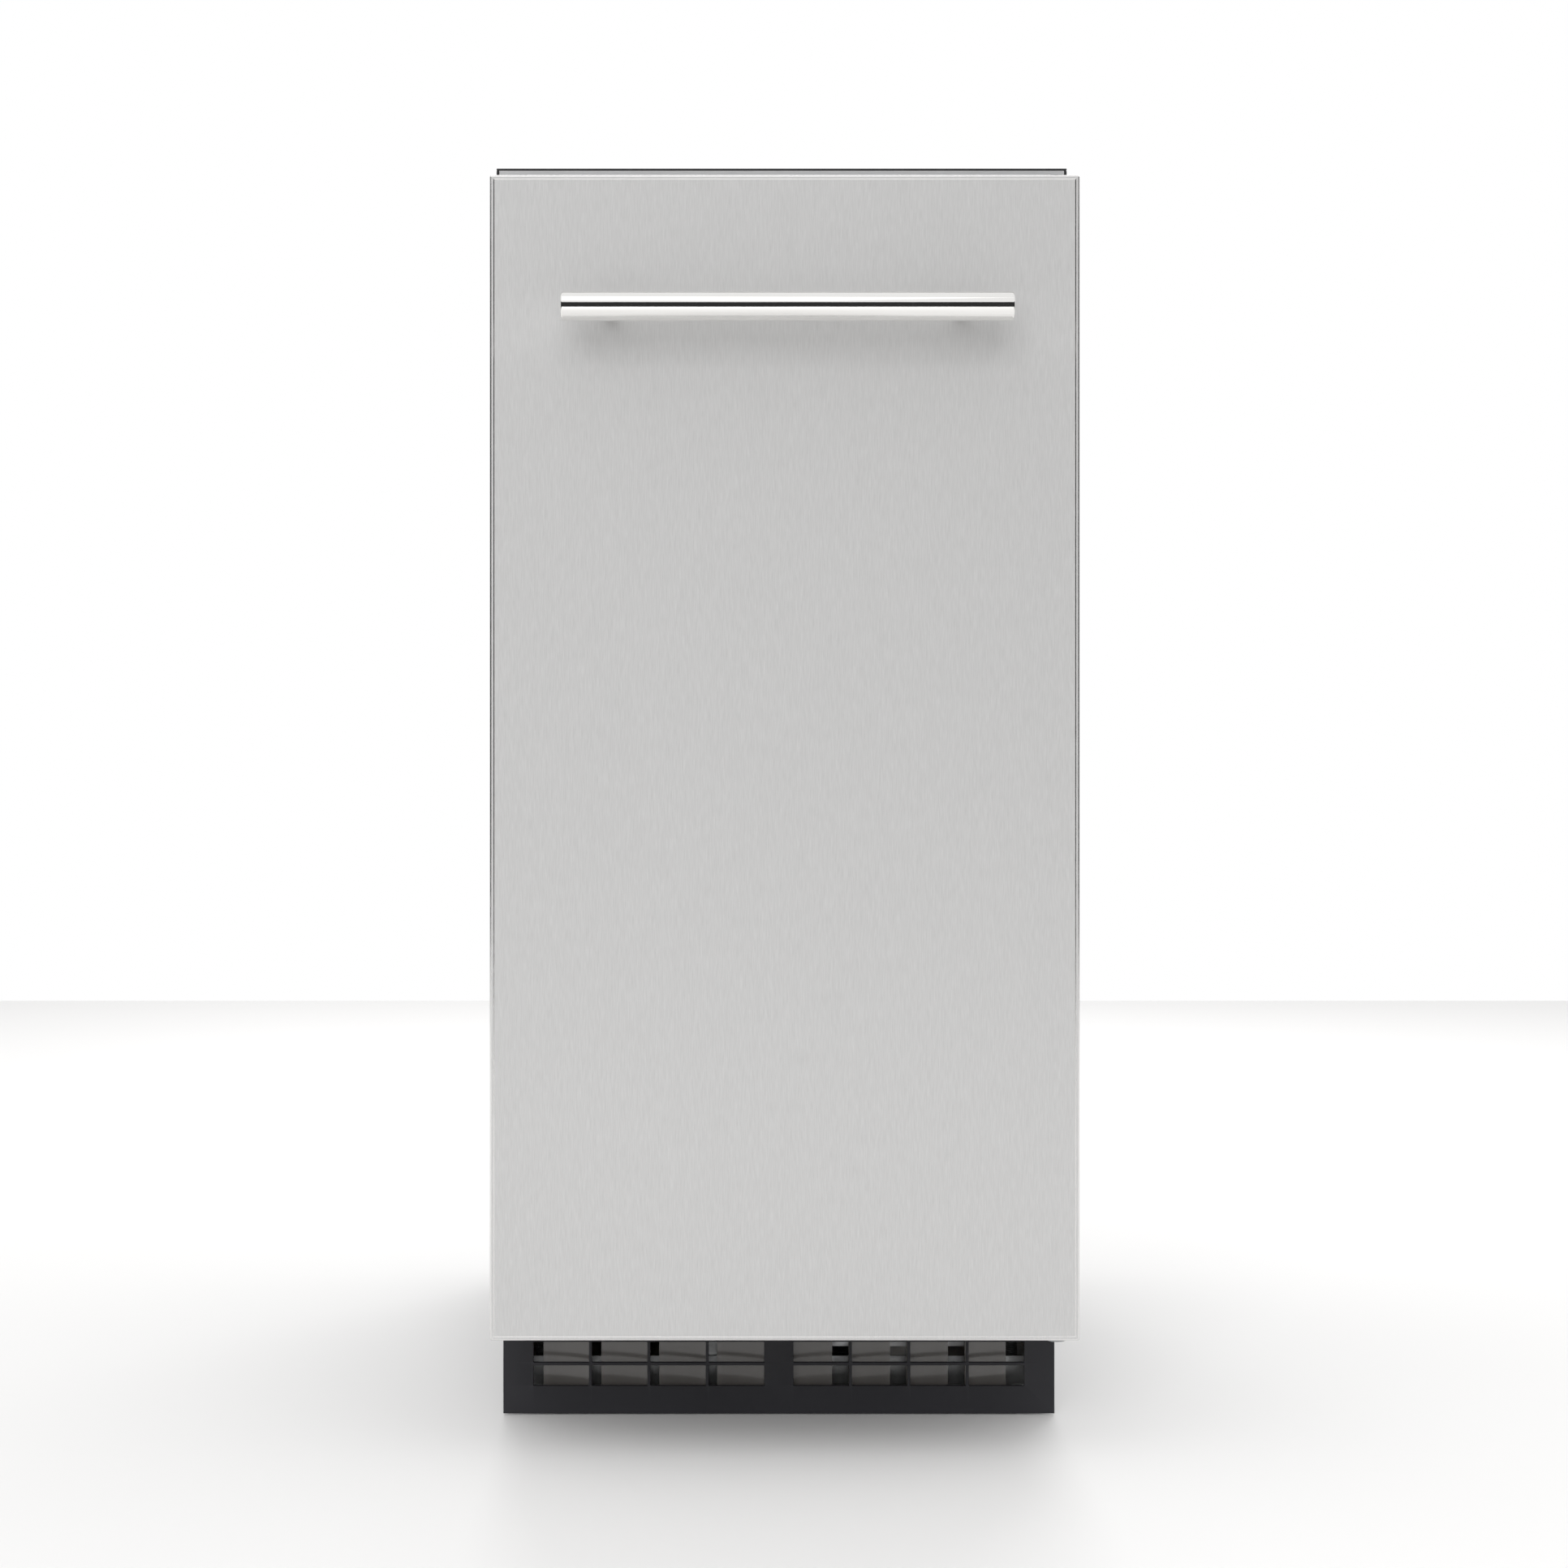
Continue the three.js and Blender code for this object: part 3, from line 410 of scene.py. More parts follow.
def smoothedTube(node):
    # CAD tubes have few sides, so one level of subdivision rounds them
    bm = cleanCopy(node)
    bmesh.ops.join_triangles(
        bm, faces=bm.faces, angle_face_threshold=math.radians(40), angle_shape_threshold=math.radians(180),
        cmp_seam=False, cmp_sharp=False, cmp_uvs=False, cmp_vcols=False, cmp_materials=False,
    )
    piece = makePiece(node + "Finished", bm, slotOfNode[node], bodyOfNode[node], [node], 80)
    subdivide = piece.modifiers.new("round", "SUBSURF")
    subdivide.levels = 1
    subdivide.render_levels = 1
    return applyModifiers(piece)


def roundedBlock(bm, low, high):
    # plain block between two corners, returned as its vertices
    made = bmesh.ops.create_cube(bm, size=1.0)["verts"]
    size = [high[i] - low[i] for i in range(3)]
    middle = [(high[i] + low[i]) / 2 for i in range(3)]
    bmesh.ops.scale(bm, vec=size, verts=made)
    bmesh.ops.translate(bm, vec=middle, verts=made)
    return made


def turnUpTo(axis):
    # rotation that takes straight up to the given axis
    return Vector((0, 0, 1)).rotation_difference(Vector(axis)).to_matrix().to_4x4()


def turnedPiece(name, profile, origin, axis, slotName, body, replaced=(), sides=64, smoothAngle=38):
    # profile: pairs of radius and distance along the axis, from end to end
    bm = bmesh.new()
    rings = []
    for radius, along in profile:
        if radius < 1e-6:
            rings.append([bm.verts.new((0, 0, along))])
            continue
        ring = []
        for step in range(sides):
            turn = 2 * math.pi * step / sides
            ring.append(bm.verts.new((radius * math.cos(turn), radius * math.sin(turn), along)))
        rings.append(ring)
    for lower, upper in zip(rings, rings[1:]):
        for step in range(sides):
            after = (step + 1) % sides
            if len(lower) == 1:
                bm.faces.new((lower[0], upper[after], upper[step]))
            elif len(upper) == 1:
                bm.faces.new((lower[step], lower[after], upper[0]))
            else:
                bm.faces.new((lower[step], lower[after], upper[after], upper[step]))
    bmesh.ops.recalc_face_normals(bm, faces=bm.faces)
    bm.transform(Matrix.Translation(Vector(origin)) @ turnUpTo(axis))
    return makePiece(name, bm, slotName, body, replaced, smoothAngle)


def arcPoints(centre, radius, start, end, steps):
    # points along an arc in the profile's plane, angles in degrees
    points = []
    for step in range(steps + 1):
        angle = math.radians(start + (end - start) * step / steps)
        points.append((centre[0] + radius * math.cos(angle), centre[1] + radius * math.sin(angle)))
    return points


def boxOf(node):
    low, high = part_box(node)
    return Vector(low), Vector(high)


def middleOf(node):
    low, high = boxOf(node)
    return (low + high) / 2


doorLook = {
    "edgeRadius": 1.4 * mm,
    "edgeSteps": 6,
    "skinThickness": 0.9 * mm,
    "creaseIn": 1.1 * mm,
    "creaseWide": 0.3 * mm,
    "creaseDeep": 0.17 * mm,
    "hem": 7 * mm,
    "bushGap": 0.3 * mm,
    "sharpAngle": 20,
}


def makeDoorSkin():
    low, high = boxOf("door_skin")
    bm = bmesh.new()
    roundedBlock(bm, low, high)
    back = [face for face in bm.faces if face.normal.y > 0.9]
    bmesh.ops.delete(bm, geom=back, context="FACES_ONLY")
    closed = [edge for edge in bm.edges if len(edge.link_faces) == 2]
    bevelEdges(bm, closed, doorLook["edgeRadius"], doorLook["edgeSteps"])
    addDoorCrease(bm)
    # the sheet turns in at the back to make a hem all round
    rim = [edge for edge in bm.edges if len(edge.link_faces) == 1]
    folded = bmesh.ops.extrude_edge_only(bm, edges=rim)["geom"]
    inward = doorLook["hem"]
    for vertex in [item for item in folded if isinstance(item, bmesh.types.BMVert)]:
        vertex.co.x -= math.copysign(inward, vertex.co.x)
        vertex.co.z += inward if vertex.co.z < (low.z + high.z) / 2 else -inward
    piece = makePiece("doorSkinFinished", bm, "door_steel", "door", ["door_skin"])
    thicken(piece, doorLook["skinThickness"], -1)
    # one cut through both ends of the door clears the hinge bushes
    bushLow, bushHigh = boxOf("upper_door_bush")
    bush = (bushLow + bushHigh) / 2
    radius = (bushHigh.x - bushLow.x) / 2 + doorLook["bushGap"]
    start = (bush.x, bush.y, low.z - cutBeyond)
    drillHole(piece, start, (0, 0, 1), radius, high.z - low.z + 2 * cutBeyond, "door_steel")
    piece.data.shade_smooth()
    piece.data.set_sharp_from_angle(angle=math.radians(doorLook["sharpAngle"]))
    return piece


def addDoorCrease(bm):
    # fine pressed line just inside the rounded front edge
    fronts = [face for face in bm.faces if face.normal.y < -0.99]
    front = max(fronts, key=lambda face: face.calc_area())
    across, deep = doorLook["creaseWide"], doorLook["creaseDeep"]
    for width, depth in ((doorLook["creaseIn"], 0.0), (across, -deep), (across, deep)):
        bmesh.ops.inset_region(bm, faces=[front], thickness=width, depth=depth, use_even_offset=True)


gasketLook = {
    "halfWidth": 6.5 * mm,
    "lipRadius": 1.2 * mm,
    "lipOut": 4.6 * mm,
    "bellows": ((6.5, 1.6), (3.6, 2.4), (3.0, 3.2), (4.2, 4.2), (3.2, 5.0)),
}


def gasketProfile(depth):
    # across the band, then from the door to the cabinet; the left side mirrors the right
    half, lipOut, lipRadius = gasketLook["halfWidth"], gasketLook["lipOut"], gasketLook["lipRadius"]
    lipMiddle = depth - 1.3 * mm
    bellows = [(across * mm, along * mm) for across, along in gasketLook["bellows"]]
    points = [(-half, 0.0), (half, 0.0)] + bellows
    points += arcPoints((lipOut, lipMiddle), lipRadius, -60, 80, 5)
    points += arcPoints((-lipOut, lipMiddle), lipRadius, 100, 240, 5)
    points += [(-across, along) for across, along in reversed(bellows)]
    return points


def makeGasket():
    # one profile carried round the rectangle, with mitred corners
    low, high = boxOf("door_gasket")
    half = gasketLook["halfWidth"]
    corners = [
        (low.x + half, low.z + half, -1, -1),
        (high.x - half, low.z + half, 1, -1),
        (high.x - half, high.z - half, 1, 1),
        (low.x + half, high.z - half, -1, 1),
    ]
    profile = gasketProfile(high.y - low.y)
    bm = bmesh.new()
    rings = []
    for x, z, outX, outZ in corners:
        ring = [(x + across * outX, low.y + depth, z + across * outZ) for across, depth in profile]
        rings.append([bm.verts.new(point) for point in ring])
    for index, ring in enumerate(rings):
        following = rings[(index + 1) % len(rings)]
        for step in range(len(profile)):
            after = (step + 1) % len(profile)
            bm.faces.new((ring[step], ring[after], following[after], following[step]))
    bmesh.ops.recalc_face_normals(bm, faces=bm.faces)
    return makePiece("doorGasketFinished", bm, "seal_rubber", "door", ["door_gasket"], 30)


doorLinerLook = {
    "border": 2 * mm,
    "dykeX": 142 * mm,
    "dykeBottom": 262 * mm,
    "dykeTop": 742 * mm,
    "steps": 6,
}


def makeDoorLiner():
    # formed sheet: flat border, then a raised dyke with soft corners and a recessed middle
    low, high = boxOf("door_liner")
    border = low.y + doorLinerLook["border"]
    loops = [
        (high.x, low.z, high.z, low.y + 0.3 * mm, 6),
        (high.x, low.z, high.z, border - 0.4 * mm, 6),
        (high.x - 1.5 * mm, low.z + 1.5 * mm, high.z - 1.5 * mm, border, 6),
    ]
    # then from the dyke's foot, over its crest and down into the middle: inset, depth and corner radius
    for inset, y, radius in (
        (-3, border, 14),
        (-0.8, border + 0.9 * mm, 13),
        (0, border + 3 * mm, 12),
        (0, high.y - 3 * mm, 12),
        (0.9, high.y - 0.9 * mm, 12),
        (3, high.y, 11),
        (16, high.y, 11),
        (18.5, high.y - 1 * mm, 10),
        (20, high.y - 3.4 * mm, 10),
        (22, border + 2 * mm, 9),
        (25, border + 0.6 * mm, 8),
    ):
        halfX = doorLinerLook["dykeX"] - inset * mm
        bottom = doorLinerLook["dykeBottom"] + inset * mm
        top = doorLinerLook["dykeTop"] - inset * mm
        loops.append((halfX, bottom, top, y, radius))
    bm = bmesh.new()
    rings = []
    for halfX, bottom, top, y, radius in loops:
        outline = roundedOutline(halfX, bottom, top, radius * mm, doorLinerLook["steps"])
        rings.append([bm.verts.new((x, y, z)) for x, z in outline])
    for inner, outer in zip(rings[1:], rings):
        for step in range(len(inner)):
            after = (step + 1) % len(inner)
            bm.faces.new((outer[step], outer[after], inner[after], inner[step]))
    bm.faces.new(rings[-1])
    bm.faces.new(list(reversed(rings[0])))
    bmesh.ops.recalc_face_normals(bm, faces=bm.faces)
    return makePiece("doorLinerFinished", bm, "liner_white", "door", ["door_liner"], 40)


def roundedOutline(halfX, bottom, top, radius, steps):
    corners = [
        (halfX - radius, bottom + radius, -90),
        (halfX - radius, top - radius, 0),
        (radius - halfX, top - radius, 90),
        (radius - halfX, bottom + radius, 180),
    ]
    points = []
    for x, z, start in corners:
        points += arcPoints((x, z), radius, start, start + 90, steps)
    return points


handleLook = {"endRadius": 1.4 * mm, "postFoot": 0.5 * mm, "postCollar": 1.6 * mm, "postNeck": 0.35 * mm}


def makeHandle():
    low, high = boxOf("handle_bar")
    radius = (high.z - low.z) / 2
    end = handleLook["endRadius"]
    length = high.x - low.x
    profile = [(0, 0), (radius * 0.4, 0)]
    profile += arcPoints((radius - end, end), end, -90, 0, 6)
    profile += arcPoints((radius - end, length - end), end, 0, 90, 6)
    profile += [(radius * 0.4, length), (0, length)]
    centre = middleOf("handle_bar")
    turnedPiece(
        "handleBarFinished", profile, (low.x, centre.y, centre.z), (1, 0, 0), "handle_steel", "door",
        ["handle_bar"], 96,
    )
    foot, collar = handleLook["postFoot"], handleLook["postCollar"]
    for side in ("left", "right"):
        # each post has a collar where it meets the door, and a slimmer neck
        node = "handle_post_" + side
        postLow, postHigh = boxOf(node)
        wide = (postHigh.x - postLow.x) / 2
        neck = wide - handleLook["postNeck"]
        reach = postHigh.y - postLow.y
        post = [(0, 0), (wide - foot, 0), (wide, foot), (wide, collar)]
        post += [(neck, collar + 0.5 * mm), (neck, reach), (0, reach)]
        place = middleOf(node)
        turnedPiece(
            "handlePost" + side.capitalize(), post, (place.x, postHigh.y, place.z), (0, -1, 0),
            "handle_steel", "door", [node], 48,
        )


makeDoorSkin()
makeGasket()
makeDoorLiner()
makeHandle()
refineNodes(("upper_door_bush", "lower_door_bush"), 0.5 * mm, 3)
print("door ready")


louvreLook = {
    "thickness": 1.5 * mm,
    "bow": 0.8 * mm,
    "steps": 8,
    "lean": 12.0,
    "rail": 1.3 * mm,
    "firstMiddle": 28.7 * mm,
    "pitch": 40 * mm,
    "behindFront": 11 * mm,
    "intoRail": 0.5 * mm,
    "chord": {-1: 33.5 * mm, 1: 29.5 * mm},
    "towardsMiddle": {-1: 3.2 * mm, 1: 6.0 * mm},
}


def makeLouvres(node, side):
    # four bowed slats between a top and a bottom rail
    low, high = boxOf(node)
    rail = louvreLook["rail"]
    bm = bmesh.new()
    roundedBlock(bm, (low.x, low.y, high.z - rail), high)
    roundedBlock(bm, low, (high.x, high.y, low.z + rail))
    inset = louvreLook["intoRail"]
    middleY = low.y + louvreLook["behindFront"]
    for index in range(4):
        outwards = louvreLook["firstMiddle"] + louvreLook["pitch"] * index
        middleX = side * (outwards - louvreLook["towardsMiddle"][side])
        addBowedSlat(bm, middleX, middleY, low.z + inset, high.z - inset, side)
    return makePiece(node + "Finished", bm, "louvre_dark", "cabinet", [node], 30)


def addBowedSlat(bm, middleX, middleY, bottom, top, side):
    lean = math.radians(louvreLook["lean"]) * side
    chord, bow, steps = louvreLook["chord"][side], louvreLook["bow"], louvreLook["steps"]
    edges = []
    for face in (0, 1):
        rows = []
        for step in range(steps + 1):
            share = step / steps
            along = (share - 0.5) * chord
            across = bow * (1 - (2 * share - 1) ** 2) - bow / 2
            across += (0.5 - face) * louvreLook["thickness"]
            x = middleX + along * math.cos(lean) - across * math.sin(lean)
            y = middleY + along * math.sin(lean) + across * math.cos(lean)
            rows.append((bm.verts.new((x, y, bottom)), bm.verts.new((x, y, top))))
        edges.append(rows)
    first, second = edges
    for step in range(steps):
        bm.faces.new((first[step][0], first[step + 1][0], first[step + 1][1], first[step][1]))
        bm.faces.new((second[step + 1][0], second[step][0], second[step][1], second[step + 1][1]))
        bm.faces.new((first[step][0], second[step][0], second[step + 1][0], first[step + 1][0]))
        bm.faces.new((first[step + 1][1], second[step + 1][1], second[step][1], first[step][1]))
    for end in (0, steps):
        bm.faces.new((first[end][0], first[end][1], second[end][1], second[end][0]))
    bmesh.ops.recalc_face_normals(bm, faces=bm.faces)


grilleLook = {
    "thickness": 2.4 * mm,
    "margin": 21 * mm,
    "widthPlay": 0.3 * mm,
    "column": 38 * mm,
    "divider": 2 * mm,
    "rows": ((20.0, 33.9), (36.1, 50.0), (52.2, 66.1)),
    "lipDepth": 10 * mm,
    "lipWall": 1.6 * mm,
    "lipFoot": 41 * mm,
    "softEdge": 0.4 * mm,
}


def gridSheet(bm, xs, zs, y):
    # sheet of quads between the cut lines, open wherever both counts are odd
    corners = {}
    for i in range(len(xs) - 1):
        for j in range(len(zs) - 1):
            if i % 2 == 1 and j % 2 == 1:
                continue
            quad = []
            for key in ((i, j), (i + 1, j), (i + 1, j + 1), (i, j + 1)):
                if key not in corners:
                    corners[key] = bm.verts.new((xs[key[0]], y, zs[key[1]]))
                quad.append(corners[key])
            bm.faces.new(quad)


def makeToeGrille():
    low, high = boxOf("toe_grille")
    pitch = grilleLook["column"] + grilleLook["divider"]
    half = (high.x - low.x) / 2 + grilleLook["widthPlay"]
    inner = half - grilleLook["margin"] - 4 * pitch + grilleLook["divider"]
    columns = []
    for index in range(4):
        start = inner + index * pitch
        columns += [(start, start + grilleLook["column"]), (-start - grilleLook["column"], -start)]
    columns.sort()
    xs = [low.x] + [edge for column in columns for edge in column] + [high.x]
    rows = [(bottom * mm, top * mm) for bottom, top in grilleLook["rows"]]
    zs = [low.z] + [edge for row in rows for edge in row] + [high.z]
    bm = bmesh.new()
    gridSheet(bm, xs, zs, low.y)
    piece = makePiece("toeGrilleFinished", bm, "toe_charcoal", "cabinet", ["toe_grille"], 50)
    thicken(piece, grilleLook["thickness"], -1, True)
    softenEdges(piece, grilleLook["softEdge"], 3)
    # a lip behind the plate, down both sides and along the top
    lip = bmesh.new()
    front = low.y + grilleLook["thickness"] + 0.1 * mm
    back = low.y + grilleLook["lipDepth"]
    wall = grilleLook["lipWall"]
    for lowX, highX in ((low.x + wall, low.x + 2 * wall), (high.x - 2 * wall, high.x - wall)):
        roundedBlock(lip, (lowX, front, grilleLook["lipFoot"]), (highX, back, high.z - wall))
    roundedBlock(lip, (low.x + wall, front, high.z - wall), (high.x - wall, back, high.z))
    softenEdges(makePiece("toeGrilleLip", lip, "toe_charcoal", "cabinet"), 0.3 * mm, 2)


makeLouvres("louvre_bank_left", -1)
makeLouvres("louvre_bank_right", 1)
makeToeGrille()
print("toe kick ready")


refineNodes(("left_side_panel", "right_side_panel", "top_panel", "rear_panel"), 0.45 * mm, 3)

coverLook = {
    "slots": ((-150, -20), (20, 150)),
    "firstSlot": 142,
    "slotHeight": 6,
    "slotPitch": 11,
    "slotRows": 6,
    "softEdge": 0.3 * mm,
    "valveHole": (-90 * mm, 110 * mm, 10.4 * mm),
    "drainHoleHeight": 50 * mm,
    "drainHole": 8.8 * mm,
    "glandHole": 9.2 * mm,
}


def makeServiceCover():
    # slotted sheet, with round holes for the valve, the drain and the gland
    low, high = boxOf("rear_service_cover")
    xs = [low.x] + [edge * mm for slot in coverLook["slots"] for edge in slot] + [high.x]
    zs = [low.z]
    for row in range(coverLook["slotRows"]):
        bottom = coverLook["firstSlot"] + row * coverLook["slotPitch"]
        zs += [bottom * mm, (bottom + coverLook["slotHeight"]) * mm]
    zs.append(high.z)
    bm = bmesh.new()
    gridSheet(bm, xs, zs, low.y)
    piece = makePiece("rearCoverFinished", bm, "zinc_steel", "cabinet", ["rear_service_cover"], 50)
    thicken(piece, high.y - low.y, -1)
    drain, gland = middleOf("drain_tube"), middleOf("power_inlet_gland")
    for x, z, radius in (
        coverLook["valveHole"],
        (drain.x, coverLook["drainHoleHeight"], coverLook["drainHole"]),
        (gland.x, gland.z, coverLook["glandHole"]),
    ):
        drillHole(piece, (x, low.y - cutBeyond, z), (0, 1, 0), radius, 3 * cutBeyond)
    softenEdges(piece, coverLook["softEdge"], 2)


makeServiceCover()
refineNodes(("front_frame", "top_front_trim", "upper_hinge_plate", "lower_hinge_plate"), 0.4 * mm, 3)
refineNodes(("upper_hinge_pin", "lower_hinge_pin", "base_pan"), 0.4 * mm, 2)

linerLook = {
    "corner": 14 * mm,
    "steps": 5,
    "thickness": 2.2 * mm,
    "wall": 2.5 * mm,
    "sillTop": 332 * mm,
    "sillDepth": 22 * mm,
}


def makeBinLiner():
    # thermoformed tub with wide corner radii and a rolled sill
    low, high = boxOf("bin_liner")
    wall = linerLook["wall"]
    halfX = high.x - wall
    sillTop = linerLook["sillTop"]
    sillBack = low.y + linerLook["sillDepth"]
    floor = low.z + wall
    ceiling = high.z - wall
    back = high.y - wall
    side = [
        (low.y, floor - wall), (low.y, sillTop), (sillBack, sillTop), (sillBack, floor),
        (back, floor), (back, ceiling), (low.y, ceiling),
    ]
    bm = bmesh.new()
    left = [bm.verts.new((-halfX, y, z)) for y, z in side]
    right = [bm.verts.new((halfX, y, z)) for y, z in side]
    for step in range(len(side) - 1):
        bm.faces.new((left[step], right[step], right[step + 1], left[step + 1]))
    bm.faces.new(left[1:])
    bm.faces.new(list(reversed(right[1:])))
    bmesh.ops.recalc_face_normals(bm, faces=bm.faces)
    if bm.faces[0].normal.y > 0:
        bmesh.ops.reverse_faces(bm, faces=bm.faces)
    inner = [edge for edge in bm.edges if len(edge.link_faces) == 2]
    bevelEdges(bm, inner, linerLook["corner"], linerLook["steps"])
    piece = makePiece("binLinerFinished", bm, "liner_white", "cabinet", ["bin_liner"], 60)
    return thicken(piece, linerLook["thickness"], 1)


makeBinLiner()

screwLook = {
    "head": 4.2 * mm,
    "height": 1.7 * mm,
    "washer": 5.4 * mm,
    "sides": 24,
    "crossLong": 2.0 * mm,
    "crossWide": 1.1 * mm,
    "crossWaist": 0.75 * mm,
    "crossDeep": 0.4 * mm,
    "turnEach": 0.7,
    "fromEdge": 9 * mm,
}


def makeScrews(name, places, axis, body, slotName="zinc_steel"):
    # domed heads with a cross recess, all in one piece
    bm = bmesh.new()
    for index, place in enumerate(places):
        spin = Matrix.Rotation(index * screwLook["turnEach"], 4, "Z")
        addScrewHead(bm, Matrix.Translation(Vector(place)) @ turnUpTo(axis) @ spin)
    return makePiece(name, bm, slotName, body, (), 40)


def ringOf(bm, place, radii, z):
    # closed ring of vertices, one for each radius
    ring = []
    for step, radius in enumerate(radii):
        turn = 2 * math.pi * step / len(radii)
        ring.append(bm.verts.new(place @ Vector((radius * math.cos(turn), radius * math.sin(turn), z))))
    return ring


def addScrewHead(bm, place):
    head, height, washer = screwLook["head"], screwLook["height"], screwLook["washer"]
    shoulder = 0.5 * mm
    profile = [(washer, 0), (washer, 0.35 * mm), (head, shoulder)]
    for lift in (0.4, 0.8, 1.1):
        profile.append((head * math.cos(lift), shoulder + (height - shoulder) * math.sin(lift)))
    rings = [ringOf(bm, place, [radius] * screwLook["sides"], z) for radius, z in profile]
    for lower, upper in zip(rings, rings[1:]):
        joinEqualRings(bm, lower, upper)
    # the cross is sunk into the crown: four long arms with a waist between them
    arm = [screwLook["crossLong"], screwLook["crossWide"], screwLook["crossWaist"], screwLook["crossWide"]]
    crown = ringOf(bm, place, arm * 4, height)
    back = place.inverted()
    sink = Vector((0, 0, -screwLook["crossDeep"]))
    pit = [bm.verts.new(place @ (back @ vertex.co * 0.62 + sink)) for vertex in crown]
    joinEqualRings(bm, crown, pit)
    bm.faces.new(pit)
    joinRings(bm, rings[-1], crown)
    bm.faces.new(list(reversed(rings[0])))


def joinEqualRings(bm, lower, upper):
    for step in range(len(lower)):
        after = (step + 1) % len(lower)
        bm.faces.new((lower[step], lower[after], upper[after], upper[step]))


def joinRings(bm, outer, inner):
    # stitches two closed rings with different counts, nearest share first
    i = j = 0
    while i < len(outer) or j < len(inner):
        shareOuter = (i + 1) / len(outer)
        shareInner = (j + 1) / len(inner)
        a, b = outer[i % len(outer)], inner[j % len(inner)]
        if i < len(outer) and (shareOuter <= shareInner or j >= len(inner)):
            bm.faces.new((a, outer[(i + 1) % len(outer)], b))
            i += 1
        else:
            bm.faces.new((a, inner[(j + 1) % len(inner)], b))
            j += 1


def makeCabinetScrews():
    side, end = screwLook["fromEdge"], screwLook["fromEdge"] + 1 * mm
    coverLow, coverHigh = boxOf("rear_service_cover")
    rearY = coverHigh.y
    places = []
    for x in (coverLow.x + side, 0.0, coverHigh.x - side):
        for z in (coverLow.z + end, coverHigh.z - side):
            places.append((x, rearY, z))
    panelLow, panelHigh = boxOf("rear_panel")
    middleZ = (panelLow.z + panelHigh.z) / 2
    for x in (panelLow.x + side, 0.0, panelHigh.x - side):
        for z in (panelLow.z + end, middleZ, panelHigh.z - end):
            if x != 0.0 or z != middleZ:
                places.append((x, rearY, z))
    makeScrews("rearScrews", places, (0, 1, 0), "cabinet")
    plateLow, plateHigh = boxOf("lower_hinge_plate")
    across = plateHigh.x - plateLow.x
    y = plateHigh.y - 12 * mm
    under = [(plateLow.x + share * across, y, plateLow.z) for share in (0.27, 0.73)]
    makeScrews("hingeScrews", under, (0, 0, -1), "cabinet")


makeCabinetScrews()

legLook = {
    "foot": ((0, 0), (13.5, 0), (15, 0.4), (16, 1.6), (16, 5.4), (15.2, 6.6), (11, 8.2), (7, 8.8)),
    "stud": 4.55 * mm,
    "threadFrom": 10.5 * mm,
    "pitch": 1.5 * mm,
    "depth": 0.45 * mm,
}


def makeLeg(node):
    # rounded foot under a threaded stud
    high = boxOf(node)[1]
    centre = middleOf(node)
    stud = legLook["stud"]
    profile = [(radius * mm, z * mm) for radius, z in legLook["foot"]] + [(stud, 9.2 * mm)]
    z = legLook["threadFrom"]
    while z < high.z - 2.5 * mm:
        profile += [(stud, z), (stud - legLook["depth"], z + 0.5 * legLook["pitch"])]
        z += legLook["pitch"]
    profile += [(stud - 0.3 * mm, high.z - 1 * mm), (stud - 1.2 * mm, high.z), (0, high.z)]
    return turnedPiece(
        node + "Finished", profile, (centre.x, centre.y, 0), (0, 0, 1), "zinc_steel", node, [node], 48, 30,
    )


for corner in ("front_left", "front_right", "rear_left", "rear_right"):
    makeLeg("leg_" + corner)
print("cabinet ready")


for node in ("suction_line", "discharge_line", "liquid_line", "evaporator_coil", "pump_riser_tube"):
    smoothedTube(node)
refineNodes(("compressor", "fan_motor", "filter_drier", "circulation_pump"), 0.8 * mm, 3)
refineNodes(("water_inlet_valve", "power_inlet_gland"), 0.8 * mm, 3)
refineNodes(("condenser", "fan_shroud", "control_box", "mechanism_frame"), 0.25 * mm, 2)
refineNodes(("evaporator_plate", "cutter_grid"), 0.25 * mm, 2)
refineNodes(("water_distributor", "water_reservoir", "control_panel"), 0.7 * mm, 3)
refineNodes(("scoop_holder", "water_curtain"), 0.7 * mm, 3)
refineNodes(("fan_rotor", "reservoir_float", "bin_level_sensor"), 0.8 * mm, 3)

buttonLook = {"cap": 8 * mm, "edge": 1.2 * mm, "flange": 10 * mm, "dish": 0.5 * mm, "capDepth": 4.6 * mm}


def makeButton(node):
    # dished cap with a rounded rim on a wider flange
    low, high = boxOf(node)
    centre = middleOf(node)
    cap, edge, flange, dish = (buttonLook[key] for key in ("cap", "edge", "flange", "dish"))
    total = high.y - low.y
    capFoot = total - buttonLook["capDepth"]
    profile = [(0, 0), (flange, 0), (flange, capFoot), (cap, capFoot)]
    profile += arcPoints((cap - edge, total - edge), edge, 0, 90, 6)
    profile += [(cap * 0.55, total - dish * 0.8), (0, total - dish)]
    place = (centre.x, high.y, centre.z)
    turnedPiece(node + "Finished", profile, place, (0, -1, 0), "liner_white", node, [node], 48)


makeButton("power_button")
makeButton("clean_button")

scoopLook = {
    "wall": 1.8 * mm,
    "corner": 9 * mm,
    "steps": 5,
    "bowlTop": 512 * mm,
    "grip": 7.3 * mm,
    "gripPlace": (-138 * mm, -142 * mm),
    "slim": 0.8,
    "crownRound": 4 * mm,
}


